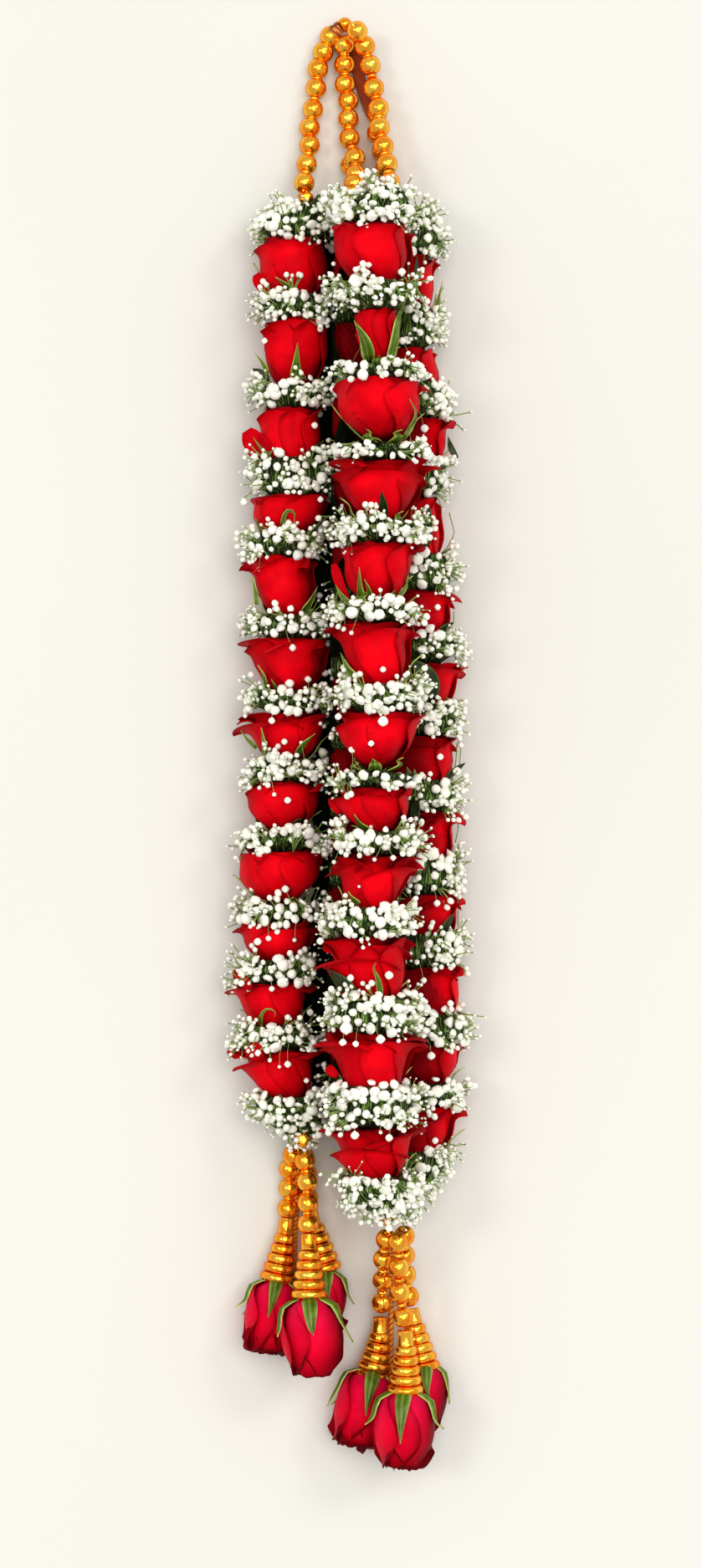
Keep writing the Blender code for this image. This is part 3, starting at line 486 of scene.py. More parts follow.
def cord_material(name, light, dark, ribs, slant):
    """Twisted or braided cord: slanting ribs of thread, with painted shade that leaves them light
    on top and dark between.
    """
    material, shader, add = new_material(
        name, Roughness=0.6, IOR=1.5, Sheen_Weight=0.3, Sheen_Roughness=0.4)
    turned = add("Mapping", Vector=add("UVMap", PATTERN_MAP), Scale=(slant, ribs, 1.0))
    parts = add("SeparateXYZ", Vector=turned).outputs
    way = add("Math", {"operation": "ADD"}, n0=parts["X"], n1=parts["Y"])
    wave = add("Math", {"operation": "SINE"}, n0=way)
    height = add("MapRange", Value=wave, From_Min=-1.0, From_Max=1.0)
    # Painted shade: the colour is darker in the grooves between the ribs
    colour = add("ValToRGB", Fac=height, stops=((0.0, dark), (0.8, light)))
    bump = add("Bump", Height=height, Strength=0.7, Distance=0.0006)
    wire(shader, Base_Color=colour, Normal=bump)
    return material


def floor_material():
    """Matt cream paper backdrop, with a tooth too fine to see and a very slow change of tone."""
    material, shader, add = new_material("matt_cream_paper", Roughness=0.9, IOR=1.45)
    tone = add("TexNoise", Vector=add("TexCoord").outputs["Object"], Scale=2.0, Detail=1.0)
    colour = add("ValToRGB", Fac=tone, stops=((0.3, "DCDDDA"), (0.7, "DFE0DD")))
    wire(shader, Base_Color=colour)
    return material


MATERIALS = {
    "rose": petal_material("rose_petal_velvety_red", (
        (0.0, "C8001A"), (0.30, "F2041F"), (0.80, "FA0620"), (0.975, "E60018"),
        (1.0, "A00010")), "7E000C", 0.35),
    "bud": petal_material("rosebud_petal_crimson", (
        (0.0, "F41E5C"), (0.30, "FF1450"), (0.66, "FA083C"), (0.82, "D80430"), (0.96, "A0001A"),
        (1.0, "58000A")), "5C000C", 0.14),
    "bloom": bloom_material(),
    "sepal": leaf_material(
        "rose_sepal_waxy_green", "C2CC78", ((0.09, "8CA338"), (0.30, "4F6C14")), "5F7C1A",
        "A3B654", ((0.72, "46620F"), (0.91, "869C34"))),
    "leaf": leaf_material(
        "rose_leaf_deep_green", "4A6426", ((0.10, "24380E"),), "1B2C0A", "4E6C26",
        ((0.90, "24380E"),)),
    # A darker, dull copy of the leaf colours: painted shade for the leaves between the strands
    "painted_shade_leaf": leaf_material(
        "rose_leaf_old_dark_green", "1A260E", ((0.10, "0E1607"),), "0A1105", "1E2C12",
        ((0.90, "0E1607"),), 0.0),
    "foliage": foliage_material(),
    "gold": gold_material(),
    "tie": cord_material("dyed_cotton_tie_cord", "C45620", "78280A", 520.0, 12.0),
    "coil": cord_material("waxed_copper_thread", "E09A50", "A05020", 40.0, 6.0),
    "gold_cord": cord_material("twisted_gilt_cord", "F0A030", "A8560C", 190.0, 12.0),
}


# Shapes


def between(low, high, share):
    return low + (high - low) * share


def angles(sides):
    return [TURN * i / sides for i in range(sides)]


def pairs(numbers):
    return list(zip(numbers[::2], numbers[1::2]))


def share_down(y):
    """How far down the columns' nominal span a height is."""
    return (y - SPAN_Y[0]) / (SPAN_Y[1] - SPAN_Y[0])


def curve_through(knots):
    """A smooth function through knots of place and value."""
    places, values = zip(*knots)
    last = len(knots) - 1
    slopes = []
    for i in range(len(knots)):
        a, b = max(i - 1, 0), min(i + 1, last)
        slopes.append((values[b] - values[a]) / (places[b] - places[a]))

    def value(place):
        place = min(max(place, places[0]), places[-1])
        i = 0
        while i < last - 1 and place > places[i + 1]:
            i += 1
        width = places[i + 1] - places[i]
        s = (place - places[i]) / width
        return (
            (2 * s ** 3 - 3 * s ** 2 + 1) * values[i]
            + (s ** 3 - 2 * s ** 2 + s) * width * slopes[i]
            + (3 * s ** 2 - 2 * s ** 3) * values[i + 1]
            + (s ** 3 - s ** 2) * width * slopes[i + 1])

    return value


def cup(radius, length, openness, shrink=0.0, full=0.0):
    """Radius of a flower over its height, which runs from 0 at the base to 1 at the rim. A full
    one is as wide near its base as in its middle."""
    hip = 0.9 * min(HIP_SHARE * radius, HIP_MOST) + 0.22 * full * radius
    belly = radius * (0.93 - 0.16 * openness + 0.06 * full) - 0.3 * shrink
    middle = radius * (1.0 - 0.06 * openness) - 0.7 * shrink
    lip = radius * (0.84 + 0.22 * openness - 0.12 * full) - shrink
    return curve_through((
        (0.0, 0.45 * hip), (HIP_HEIGHT / length, hip), (0.42, belly), (MIDDLE_HEIGHT, middle),
        (LIP_HEIGHT, lip), (1.1, between(middle, lip, 1.8))))


class Wall:
    """A plane that a column stays behind, whose offset changes evenly along Y."""

    def __init__(self, across, up, offsets):
        self.across, self.up, self.offsets = across, up, offsets

    def room(self, x, y, z):
        return between(*self.offsets, share_down(y)) - self.across * x - self.up * z


def wall_towards(name, other):
    """The wall halfway between two columns' nominal centre lines."""
    ends, other_ends = NOMINAL_X[name], NOMINAL_X[other]
    across = sum(other_ends) / 2.0 - sum(ends) / 2.0
    up = HEIGHTS[other] - HEIGHTS[name]
    size = hypot(across, up)
    across, up = across / size, up / size
    middle_z = (HEIGHTS[name] + HEIGHTS[other]) / 2.0
    room = -GAP / 2.0
    if "left_back" in (name, other):
        room += LEAN_OVER if other == "left_back" else -LEAN_OVER
    return Wall(across, up, [
        across * (a + b) / 2.0 + up * middle_z + room for a, b in zip(ends, other_ends)])


class Column:
    """One strand of roses: its centre line, and the cell that its pieces are pressed into."""

    def __init__(self, name):
        vars(self).update(COLUMNS[name], name=name, height=HEIGHTS[name])
        self.bases = [rim + COLLAR_CORE for rim in self.rims[1:]]
        self.bases.append(self.rims[-1] - self.last_height)
        self.cups = [
            cup(width / 2.0, rim - base, openness) for width, rim, base, openness
            in zip(self.widths, self.rims, self.bases, self.openness)]
        self.top = self.rims[0] + TOP_TUFT
        self.foot = self.bases[-1] - self.foot_tuft
        head_centre, *foot_centres = self.end_centres
        self.line_y = (self.top, *self.rims, self.bases[-1], self.foot)
        self.line_x = (head_centre, *self.centres, *foot_centres)
        self.walls = [wall_towards(name, other) for other in NOMINAL_X if other != name]
        if self.height == LOW_Z:
            self.walls.append(Wall(0.0, -1.0, (0.0, 0.0)))

    def centre(self, y):
        """X and Z of the centre line at a height along Y."""
        x = self.line_x[0] if y > self.line_y[0] else self.line_x[-1]
        for high, low, above, below in zip(
                self.line_y, self.line_y[1:], self.line_x, self.line_x[1:]):
            if low <= y <= high:
                x = between(above, below, (high - y) / (high - low))
                break
        fall = min(max((self.bases[-1] - y) / self.foot_tuft, 0.0), 1.0)
        return x, self.height - self.foot_fall * fall ** 2

    def reach(self, angle, y):
        """How far it is from the centre line to the nearest wall at an angle."""
        x, z = self.centre(y)
        nearest = inf
        for wall in self.walls:
            towards = wall.across * cos(angle) + wall.up * sin(angle)
            if towards > 1e-6:
                nearest = min(nearest, wall.room(x, y, z) / towards)
        return nearest

    def around(self, radius, angle, y):
        x, z = self.centre(y)
        return x + radius * cos(angle), y, z + radius * sin(angle)

    def place(self, radius, angle, y, margin=0.0):
        """A point at a radius and angle from the centre line, kept a margin off the walls."""
        return self.around(min(radius, self.reach(angle, y) - margin), angle, y)

    def squeezed(self, radius, angle, y, whole):
        """A point inside a flower whose radius there is whole: all layers draw in together."""
        return self.around(radius * min(1.0, (self.reach(angle, y) - SEAT) / whole), angle, y)

    def notched(self, radius, angle, y, margin):
        """A placed point, kept below the round notches in the tuft where the strands come out."""
        x, y, z = self.place(radius, angle, y, margin)
        for middle, height, size in self.notches:
            if abs(x - middle) < size:
                y = min(y, height - sqrt(size ** 2 - (x - middle) ** 2))
        return x, y, z

    def front(self, x, y):
        """How high the roses and collars of the column reach over a spot."""
        middle, z = self.centre(y)
        size = self.collar_radius - 2.0
        for rim, base, outside in zip(self.rims, self.bases, self.cups):
            if base <= y <= rim:
                size = outside((y - base) / (rim - base))
        return z + sqrt(max(size ** 2 - (x - middle) ** 2, 4.0))


class Route:
    """A smooth curve through given points, read by its length from the first one."""

    STEPS = 16

    def __init__(self, points):
        knots = [Vector(point) for point in points]
        knots = [2 * knots[0] - knots[1], *knots, 2 * knots[-1] - knots[-2]]
        self.samples = []
        for a, b, c, d in zip(knots, knots[1:], knots[2:], knots[3:]):
            for step in range(self.STEPS):
                s = step / self.STEPS
                self.samples.append(0.5 * (
                    2 * b + (c - a) * s + (2 * a - 5 * b + 4 * c - d) * s ** 2
                    + (3 * b - a - 3 * c + d) * s ** 3))
        self.samples.append(knots[-2])
        self.marks = [0.0]
        for before, after in zip(self.samples, self.samples[1:]):
            self.marks.append(self.marks[-1] + (after - before).length)
        self.length = self.marks[-1]

    def point(self, along):
        i = 0
        while i < len(self.marks) - 2 and self.marks[i + 1] < along:
            i += 1
        share = (along - self.marks[i]) / (self.marks[i + 1] - self.marks[i])
        return self.samples[i] + (self.samples[i + 1] - self.samples[i]) * share

    def way(self, along, step):
        """The direction of the curve, from points a step before and after."""
        return (self.point(along + step) - self.point(along - step)).normalized()

    def place(self, radius, angle, along, flat=1.0):
        """A point at a radius and angle from the curve. Flat is the section's height by width."""
        tangent = self.way(along, 0.5)
        side = tangent.cross(Vector((0, 0, 1))).normalized()
        up = side.cross(tangent)
        return self.point(along) + side * radius * cos(angle) + up * radius * flat * sin(angle)


class Skin:
    """A mesh built bit by bit from closed skins, with a place on the pattern for each corner and
    a tone for each point."""

    def __init__(self):
        self.points, self.tones, self.faces, self.corners = [], [], [], []

    def sheet(self, surface, across, along, thick, tone):
        """A petal or leaf: two sides a little apart, joined round their edge. Its tone is one
        number, or a function of the place on it."""
        us = [-cos(pi * i / across) for i in range(across + 1)]
        vs = [sin(UP * i / along) for i in range(along + 1)]
        grid = np.array([[tuple(surface(u, v)) for u in us] for v in vs])
        normal = np.cross(np.gradient(grid, axis=0), np.gradient(grid, axis=1))
        normal /= np.linalg.norm(normal, axis=2, keepdims=True) + 1e-9
        half = np.full(grid.shape[:2], thick / 2.0)
        for edge in (half[-1], half[:, 0], half[:, -1]):
            edge *= EDGE_THIN
        start, count = len(self.points), half.size
        for side in (1.0, -1.0):
            self.points += map(tuple, (grid + side * normal * half[..., None]).reshape(-1, 3))
        self.tones += 2 * [tone(u, v) if callable(tone) else tone for v in vs for u in us]

        def face(*corners):
            self.faces.append([
                start + side * count + j * (across + 1) + i for i, j, side in corners])
            self.corners += [((us[i] + 1.0) / 2.0, vs[j]) for i, j, _ in corners]

        for j in range(along):
            for i in range(across):
                for side in (0, 1):
                    face((i, j, side), (i + 1, j, side), (i + 1, j + 1, side), (i, j + 1, side))
        edge = [(i, 0) for i in range(across)] + [(across, j) for j in range(along)]
        edge += [(i, along) for i in range(across, 0, -1)] + [(0, j) for j in range(along, 0, -1)]
        for a, b in zip(edge, edge[1:] + edge[:1]):
            face((*a, 0), (*b, 0), (*b, 1), (*a, 1))

    def sweep(self, rings, tones=0.0, closed=False, poles=None):
        """A skin over rings of points, with one tone or a list of tones: a closed loop of rings,
        or with a point at each end."""
        start, sides, rows = len(self.points), len(rings[0]), len(rings)
        tones = tones if isinstance(tones, list) else [tones] * rows
        for ring, tone in zip(rings, tones):
            self.points += map(tuple, ring)
            self.tones += [tone] * sides
        for j in range(rows if closed else rows - 1):
            a, b = start + j * sides, start + (j + 1) % rows * sides
            low, high = j / rows, (j + 1) / rows
            for i in range(sides):
                after, left, right = (i + 1) % sides, i / sides, (i + 1) / sides
                self.faces.append([a + i, a + after, b + after, b + i])
                self.corners += [(left, low), (right, low), (right, high), (left, high)]
        if closed:
            return
        for end, row in ((0, 0), (1, rows - 1)):
            middle = poles[end] if poles else np.mean([tuple(p) for p in rings[row]], axis=0)
            self.points.append(tuple(middle))
            self.tones.append(tones[row])
            base, level = start + row * sides, row / rows
            for i in range(sides):
                self.faces.append([base + i, base + (i + 1) % sides, len(self.points) - 1])
                self.corners += [(i / sides, level), ((i + 1) / sides, level), (i / sides, level)]

    def turned(self, centre, size, sides, profile, lobes=0, depth=0.0, uneven=0.0, draw=None):
        """A small round or lobed shape with its axis along Z. The profile runs from pole to pole
        in radius, height and tone, and its widest parts have the deepest lobes."""
        cx, cy, cz = centre
        widest = max(radius for radius, _, _ in profile)
        rings = []
        for radius, height, _ in profile[1:-1]:
            ring = []
            for angle in angles(sides):
                wide = size * radius * (1.0 + depth * radius / widest * cos(lobes * angle))
                if uneven:
                    wide *= 1.0 + draw.uniform(-uneven, uneven)
                ring.append((cx + wide * cos(angle), cy + wide * sin(angle), cz + size * height))
            rings.append(ring)
        poles = [(cx, cy, cz + size * profile[end][1]) for end in (0, -1)]
        self.sweep(rings, [tone for _, _, tone in profile[1:-1]], poles=poles)

    def tube(self, points, radius, sides, tone=0.0):
        """A thin stem through points."""
        points = [Vector(p) for p in points]
        rings = []
        for before, point, after in zip(points[:1] + points, points, points[1:] + points[-1:]):
            way = (after - before).normalized()
            side = way.orthogonal().normalized()
            other = way.cross(side)
            rings.append([
                point + radius * (side * cos(angle) + other * sin(angle))
                for angle in angles(sides)])
        self.sweep(rings, tone)

    def mesh(self, name, finish=None):
        mesh = bpy.data.meshes.new(name)
        mesh.from_pydata([tuple(c * MM for c in p) for p in self.points], [], self.faces)
        pattern = mesh.uv_layers.new(name="pattern")
        pattern.uv.foreach_set("vector", np.array(self.corners, np.float32).ravel())
        tones = mesh.attributes.new("tone", "FLOAT", "POINT")
        tones.data.foreach_set("value", np.array(self.tones, np.float32))
        if finish:
            mesh.materials.append(MATERIALS[finish])
        work = bmesh.new()
        work.from_mesh(mesh)
        bmesh.ops.recalc_face_normals(work, faces=work.faces)
        work.to_mesh(mesh)
        work.free()
        mesh.shade_smooth()
        return mesh


def show(name, piece, finish, *nodes, slot=None):
    """A finished piece: it rides on the part, stands for its nodes, which it hides, and takes the
    finish given.
    """
    mesh = piece.mesh(name, finish) if isinstance(piece, Skin) else piece
    item = bpy.data.objects.new(name, mesh)
    bpy.context.scene.collection.objects.link(item)
    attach(item, "root")
    if nodes:
        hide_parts(*nodes)


# Growing repeats with Geometry Nodes


def new_tree(name, **sizes):
    """An empty geometry tree, what adds a node to it, and its named inputs."""
    tree = bpy.data.node_groups.new(name, "GeometryNodeTree")
    tree.interface.new_socket("Geometry", in_out="INPUT", socket_type="NodeSocketGeometry")
    for label, kind in sizes.items():
        tree.interface.new_socket(label, in_out="INPUT", socket_type="NodeSocket" + kind)
    tree.interface.new_socket("Geometry", in_out="OUTPUT", socket_type="NodeSocketGeometry")
    add = partial(add_node, tree)
    return tree, add, add("NodeGroupInput").outputs


def end_tree(add, instances, finish):
    """The end of a tree: real meshes with their material."""
    real = add("GeometryNodeRealizeInstances", Geometry=instances)
    dressed = add("GeometryNodeSetMaterial", Geometry=real, Material=finish)
    add("NodeGroupOutput", Geometry=dressed)


def scatter_tree():
    """Blooms or sprigs over a band, evenly apart, each turned, leaned and sized at random."""
    tree, add, given = new_tree(
        "scatter_blooms", Spacing="Float", Most="Float", Smallest="Float", Largest="Float",
        Sink="Float", Rise="Float", Lean="Float", Seed="Int", Kinds="Collection",
        Finish="Material")
    number = {"data_type": "FLOAT"}
    weight = add("GeometryNodeInputNamedAttribute", number, Name="weight")
    spots = add(
        "GeometryNodeDistributePointsOnFaces", {"distribute_method": "POISSON"},
        Mesh=given["Geometry"], Distance_Min=given["Spacing"], Density_Max=given["Most"],
        Density_Factor=weight, Seed=given["Seed"])
    lift = add("FunctionNodeRandomValue", number, n2=given["Sink"], n3=given["Rise"], Seed=1)
    offset = add("VectorMath", {"operation": "SCALE"}, n0=spots.outputs["Normal"], Scale=lift)
    lifted = add("GeometryNodeSetPosition", Geometry=spots, Offset=offset)
    kinds = add("GeometryNodeCollectionInfo", Collection=given["Kinds"],
                Separate_Children=True, Reset_Children=True)
    pick = add("FunctionNodeRandomValue", {"data_type": "INT"}, n4=0, n5=99, Seed=2)
    size = add(
        "FunctionNodeRandomValue", number, n2=given["Smallest"], n3=given["Largest"], Seed=3)
    placed = add(
        "GeometryNodeInstanceOnPoints", Points=lifted, Instance=kinds, Pick_Instance=True,
        Instance_Index=pick, Rotation=spots.outputs["Rotation"], Scale=size)
    toss = add("FunctionNodeRandomValue", {"data_type": "FLOAT_VECTOR"}, n0=(-1.0, -1.0, 0.0),
               n1=(1.0, 1.0, TURN), Seed=4)
    lean = add("CombineXYZ", X=given["Lean"], Y=given["Lean"], Z=1.0)
    turn = add("VectorMath", {"operation": "MULTIPLY"}, n0=toss, n1=lean)
    turned = add("GeometryNodeRotateInstances", Instances=placed, Rotation=turn)
    end_tree(add, turned, given["Finish"])
    return tree


def string_tree(mode):
    """Copies of one bead along a thread, whose width changes from first to last. They are evenly
    apart in the mode COUNT, and one stands at each point of the thread in the mode EVALUATED."""
    tree, add, given = new_tree(
        "string_on_thread", Count="Int", First="Float", Last="Float", Kind="Object",
        Finish="Material")
    thread = add("GeometryNodeMeshToCurve", Mesh=given["Geometry"])
    spots = add("GeometryNodeCurveToPoints", {"mode": mode}, Curve=thread)
    if mode == "COUNT":
        wire(spots, Count=given["Count"])
    steps = add("Math", {"operation": "SUBTRACT"}, n0=given["Count"], n1=1.0)
    share = add("Math", {"operation": "DIVIDE"}, n0=add("GeometryNodeInputIndex"), n1=steps)
    width = add("Mix", {"data_type": "FLOAT"}, Factor=share, n2=given["First"], n3=given["Last"])
    scale = add("CombineXYZ", X=width, Y=width, Z=1.0)
    kind = add("GeometryNodeObjectInfo", Object=given["Kind"]).outputs["Geometry"]
    placed = add("GeometryNodeInstanceOnPoints", Points=spots, Instance=kind,
                 Rotation=spots.outputs["Rotation"], Scale=scale)
    end_tree(add, placed, given["Finish"])
    return tree


SCATTER = scatter_tree()
STRING = string_tree("COUNT")
STRING_AT = string_tree("EVALUATED")


def one_finish(mesh, material):
    """A smooth mesh with one material all over."""
    mesh.materials.clear()
    mesh.materials.append(material)
    mesh.polygons.foreach_set("material_index", [0] * len(mesh.polygons))
    mesh.shade_smooth()
    return mesh


def grow(host, tree, **values):
    """The plain mesh that a tree makes from a host mesh."""
    item = bpy.data.objects.new(host.name, host)
    modifier = item.modifiers.new("grow", "NODES")
    modifier.node_group = tree
    for socket in tree.interface.items_tree:
        if socket.in_out == "INPUT" and socket.name in values:
            modifier[socket.identifier] = values[socket.name]
    bpy.context.scene.collection.objects.link(item)
    graph = bpy.context.evaluated_depsgraph_get()
    mesh = bpy.data.meshes.new_from_object(
        item.evaluated_get(graph), preserve_all_data_layers=True, depsgraph=graph)
    item.modifiers.clear()
    bpy.data.objects.remove(item)
    return one_finish(mesh, values["Finish"])


def join_meshes(name, meshes):
    """One mesh from several that share a material and the same named layers."""
    work = bmesh.new()
    for mesh in meshes:
        work.from_mesh(mesh)
    joined = bpy.data.meshes.new(name)
    work.to_mesh(joined)
    work.free()
    return one_finish(joined, meshes[0].materials[0])


# Roses and rosebuds

# Layers of petals from the outside in: how many, share of the cup, half width in degrees, rim as a
# share of the height, how far the corners drop, how strongly the rim rolls, lift of the free side,
# and points across and along
LAYERS = (
    (3, 1.00, 75, 0.955, 0.10, 1.00, 1.7, 18, 12),
    (3, 0.90, 70, 0.985, 0.10, 0.85, 1.6, 14, 10),
    (3, 0.79, 66, 1.000, 0.10, 0.60, 1.1, 10, 7),
    (3, 0.66, 66, 1.005, 0.10, 0.45, 0.8, 8, 6),
    (3, 0.50, 68, 0.990, 0.08, 0.30, 0.7, 8, 5),
    (2, 0.32, 92, 0.970, 0.05, 0.10, 0.5, 8, 5),
)
PETAL_WIDTH = curve_through(
    ((0.0, 0.40), (0.25, 0.66), (0.50, 0.90), (0.72, 1.0), (0.90, 0.95), (1.0, 0.82)))
SEPAL_WIDTH = curve_through(
    ((0.0, 0.80), (0.15, 1.0), (0.35, 0.88), (0.6, 0.52), (0.85, 0.20), (1.0, 0.03)))
LEAF_WIDTH = curve_through(
    ((0.0, 0.25), (0.2, 0.8), (0.45, 1.0), (0.7, 0.75), (0.9, 0.3), (1.0, 0.04)))
OUTER_PETAL_WIDTH = curve_through(((0.0, 0.5), (0.3, 0.85), (0.6, 1.0), (0.85, 0.85), (1.0, 0.45)))
# How open a rosebud is, and how full near its base
BUD_OPEN = 0.22
BUD_FULL = 0.85


def rolled(top, v, roll, length):
    """Height of a point of a petal, and how far out its rim rolls there."""
    height = top * v
    turned = roll * max(0.0, v - ROLL_START) / (1.0 - ROLL_START)
    if turned < 1e-4:
        return height, 0.0
    knee = top * ROLL_START
    arc = height - knee
    return knee + arc * sin(turned) / turned, arc * length * (1.0 - cos(turned)) / turned


def hump(angle, middle, width=0.6):
    """A smooth rise to 1 where an angle is at the middle of the rise."""
    off = abs((angle - middle + pi) % TURN - pi)
    return exp(-(off / width) ** 2)


def flower(skin, place, radius, length, openness, draw, fine=True, full=0.0, shade=0.0, curl=1.0,
           lips=(0.0, 0.0), dip=0.0, painted_side_shade=(0.0, 0.0, 0.0), ragged=1.0):
    """Layers of petals, each over one neighbour and under the other, round a closed heart.
    place takes radius, angle, height share and the radius of the whole flower there. Lips are
    how far the outer rims reach out to the left and right, and dip is how far the rims in
    front bend down to bare the inner petals. Shade is painted shade added to the tone of every
    petal. The side shade is painted shade too: how much deeper the colour gets towards the
    angles of 0 and pi, and how far those two are turned back. Ragged ones have rims of uneven
    height with round ends."""
    roll = 0.5 + 1.6 * openness
    turn = UP + draw.uniform(-0.8, 0.8) - TURN / 6.0
    spread = (1.0 - ROLL_START) * length * (1.0 - cos(roll)) / roll
    whole = cup(radius, length, openness, spread, full)
    for number, layer in enumerate(LAYERS):
        count, share, half, high, drop, rolling, tilt, across, along = layer
        if not fine:
            across, along = max(8, across - 6), max(5, along - 4)
        side = cup(radius, length, max(openness * (1.0 - 0.22 * number), 0.0), spread, full)
        turn += TURN / count / 2.0 + draw.uniform(-0.2, 0.2)
        for i in range(count):
            middle = turn + TURN * i / count + draw.uniform(-0.15, 0.15)
            bend = roll * rolling * draw.uniform(0.55, 1.15)
            top = high - 0.03 * openness * number + ragged * draw.uniform(-0.025, 0.02)
            top += 0.8 * (1.0 - ROLL_START) * (1.0 - sin(bend) / bend)
            top -= dip * max(0.0, sin(middle)) * max(0.0, 1.0 - 0.4 * number)
            hooks = [curl * draw.uniform(-0.2, 1.0) for _ in (0, 1)]
            skew = draw.uniform(-0.03, 0.03)
            wave = draw.uniform(0.4, 1.3) * (0.35 + openness) * (1.0 if number < 3 else 0.5) * curl
            phase = draw.uniform(0.0, TURN)

            def surface(u, v):
                angle = middle + radians(half) * u * PETAL_WIDTH(v)
                edge = max(0.0, (v - 0.5) / 0.5) ** 2
                rim = top - ragged * (drop * abs(u) ** 4 - skew * u) + 0.012 * sin(5.0 * u + phase)
                hook = hooks[0 if u < 0.0 else 1] * abs(u) ** 2
                local = bend * (1.0 + 0.35 * sin(2.4 * u + phase) + hook)
                height, out = rolled(rim, v, min(local, 2.5), length)
                ripple = wave * edge * sin(4.2 * u + 2.0 * phase)
                crease = 0.8 * edge * exp(-((u - skew * 8.0) / 0.18) ** 2)
                free = tilt * min(1.0, 3.0 * v) * (u + 0.5 * max(u, 0.0) ** 3)
                if number < 2:
                    lip = lips[0] * hump(angle, pi) + lips[1] * hump(angle, 0.0)
                    bent = max(0.0, (v - 0.45) / 0.55)
                    out += 0.6 * lip * bent ** 1.4
                    height -= 0.15 * lip / length * bent ** 3
                distance = share * side(height) + out + free + ripple - crease
                return place(distance, angle, height, whole(height) + out + tilt + 1.0)

            # Painted shade: each layer further in is darker by 0.15, on top of the shade and a
            # random tone
            painted_shade_and_tone = shade + 0.01 + 0.15 * number + draw.uniform(0.0, 0.12)

            # Painted shade towards the sides, and a painted shadow line along each petal's side
            # edges
            def tone(u, v):
                facing = cos(middle + radians(half) * u * PETAL_WIDTH(v) + painted_side_shade[2])
                painted_side_shade_tone = painted_side_shade[0 if facing > 0.0 else 1] * facing ** 2
                return min(1.0, painted_shade_and_tone + painted_side_shade_tone + 0.32 * abs(u) ** 9)

            skin.sheet(surface, across, along, PETAL_THICK, tone)
    heart = cup(radius, length, 0.0, spread, full)
    rings = []
    for j in range(5):
        height = between(0.35, 0.93, j / 4)
        size = heart(height) * 0.2 * (1.0 - 0.4 * (j / 4) ** 2)
        rings.append([place(size, angle, height, whole(height)) for angle in angles(10)])
    # The heart's tone of 0.8 is painted shade deep inside the flower
    skin.sweep(rings, 0.8)


def sepal(skin, place, angle, stations, width, bend=0.0, thick=0.8):
    """A slim pointed blade through stations of share, radius and height, folded on its middle
    and bent to one side by some millimetres at its tip."""
    radius_at = curve_through([(share, radius) for share, radius, _ in stations])
    height_at = curve_through([(share, height) for share, _, height in stations])

    def surface(u, v):
        wide = width / 2.0 * SEPAL_WIDTH(v)
        radius = radius_at(v)
        fold = 0.30 * wide * (1.0 - abs(u)) + 0.5 * sin(7.0 * v) * u
        aside = u * wide + bend * v ** 2
        return place(radius + fold, angle + aside / max(radius, 3.0), height_at(v))

    skin.sheet(surface, 4, 11, thick, 0.0)


def dress_rose(column, index, sepals, draw):
    """One strung rose, and its sepals in the column's own skin."""
    base, rim, outside = column.bases[index], column.rims[index], column.cups[index]
    length = rim - base

    def place(distance, angle, height, whole):
        return column.squeezed(distance, angle, base + height * length, whole)

    skin = Skin()
    # Painted shade: the left back column, in shade between the others, is painted nearly at the
    # shade colour, and the right back one a little darker
    shade = {"left_back": 0.97, "right_back": 0.08}.get(column.name, 0.0)
    # Painted shade: the right column behind is darker on the side where the one that lies on it
    # shades it, and the others are darker towards their sides
    painted_side_shade = (0.2, 0.95, 1.1) if column.name == "right_back" else (0.42, 0.22, 0.0)
    flower(skin, place, column.widths[index] / 2.0, length, column.openness[index], draw,
           shade < 0.5, shade=shade, lips=column.lips[index], dip=column.dips[index], painted_side_shade=painted_side_shade)
    number = f"{column.name}_{index + 1:02d}"
    show(f"petals_{number}", skin, "rose", f"rose_{number}")
    first = draw.uniform(0.0, TURN)
    for i in range(SEPALS):
        angle = first + TURN * i / SEPALS + draw.uniform(-0.3, 0.3)
        reach = draw.uniform(0.08, 0.18) if sin(angle) > 0.0 else draw.uniform(0.30, 0.62)
        away = draw.uniform(0.3, 4.0)
        stations = (
            (0.0, 6.0, base - 3.0),
            (0.3, outside(0.20) + 1.4, base + 0.28 * reach * length),
            (0.7, outside(0.66 * reach) + 2.2, base + 0.72 * reach * length),
            (1.0, outside(reach) + 2.2 + away, base + reach * length))
        sepal(sepals, column.place, angle, stations, draw.uniform(6.0, 8.4),
              draw.uniform(-5.0, 5.0))


# Baby's breath

OPEN_FLORET = (
    (0, -1.7, 0.3), (2.2, -1.1, 0.6), (3.3, 0.2, 0.95), (2.3, 1.5, 1.0), (0, 1.3, 0.9))
POMPON = ((0, -2.4, 0.3), (2.3, -1.6, 0.6), (3.1, 0.0, 0.95), (2.3, 1.8, 1.0), (0, 2.5, 1.0))
BELL = ((0, -2.6, 0.15), (1.1, -1.9, 0.3), (2.1, -0.3, 0.8), (2.9, 1.2, 1.0), (0, 1.4, 0.9))
BUD = ((0, -1.1, 0.2), (0.75, -0.75, 0.5), (1.0, 0.0, 0.95), (0.7, 0.75, 1.0), (0, 1.05, 1.0))
TINY_BUD = ((0, -1.2, 0.15), (0.95, -0.4, 0.5), (0.8, 0.6, 0.95), (0, 1.1, 1.0))
# Florets as profile, sides, lobes and their depth, and unevenness
FLORETS = (
    (OPEN_FLORET, 11, 4, 0.08, 0.07), (POMPON, 9, 3, 0.04, 0.08), (BELL, 10, 3, 0.07, 0.05),
    (OPEN_FLORET, 12, 5, 0.10, 0.06), (POMPON, 9, 2, 0.05, 0.10))
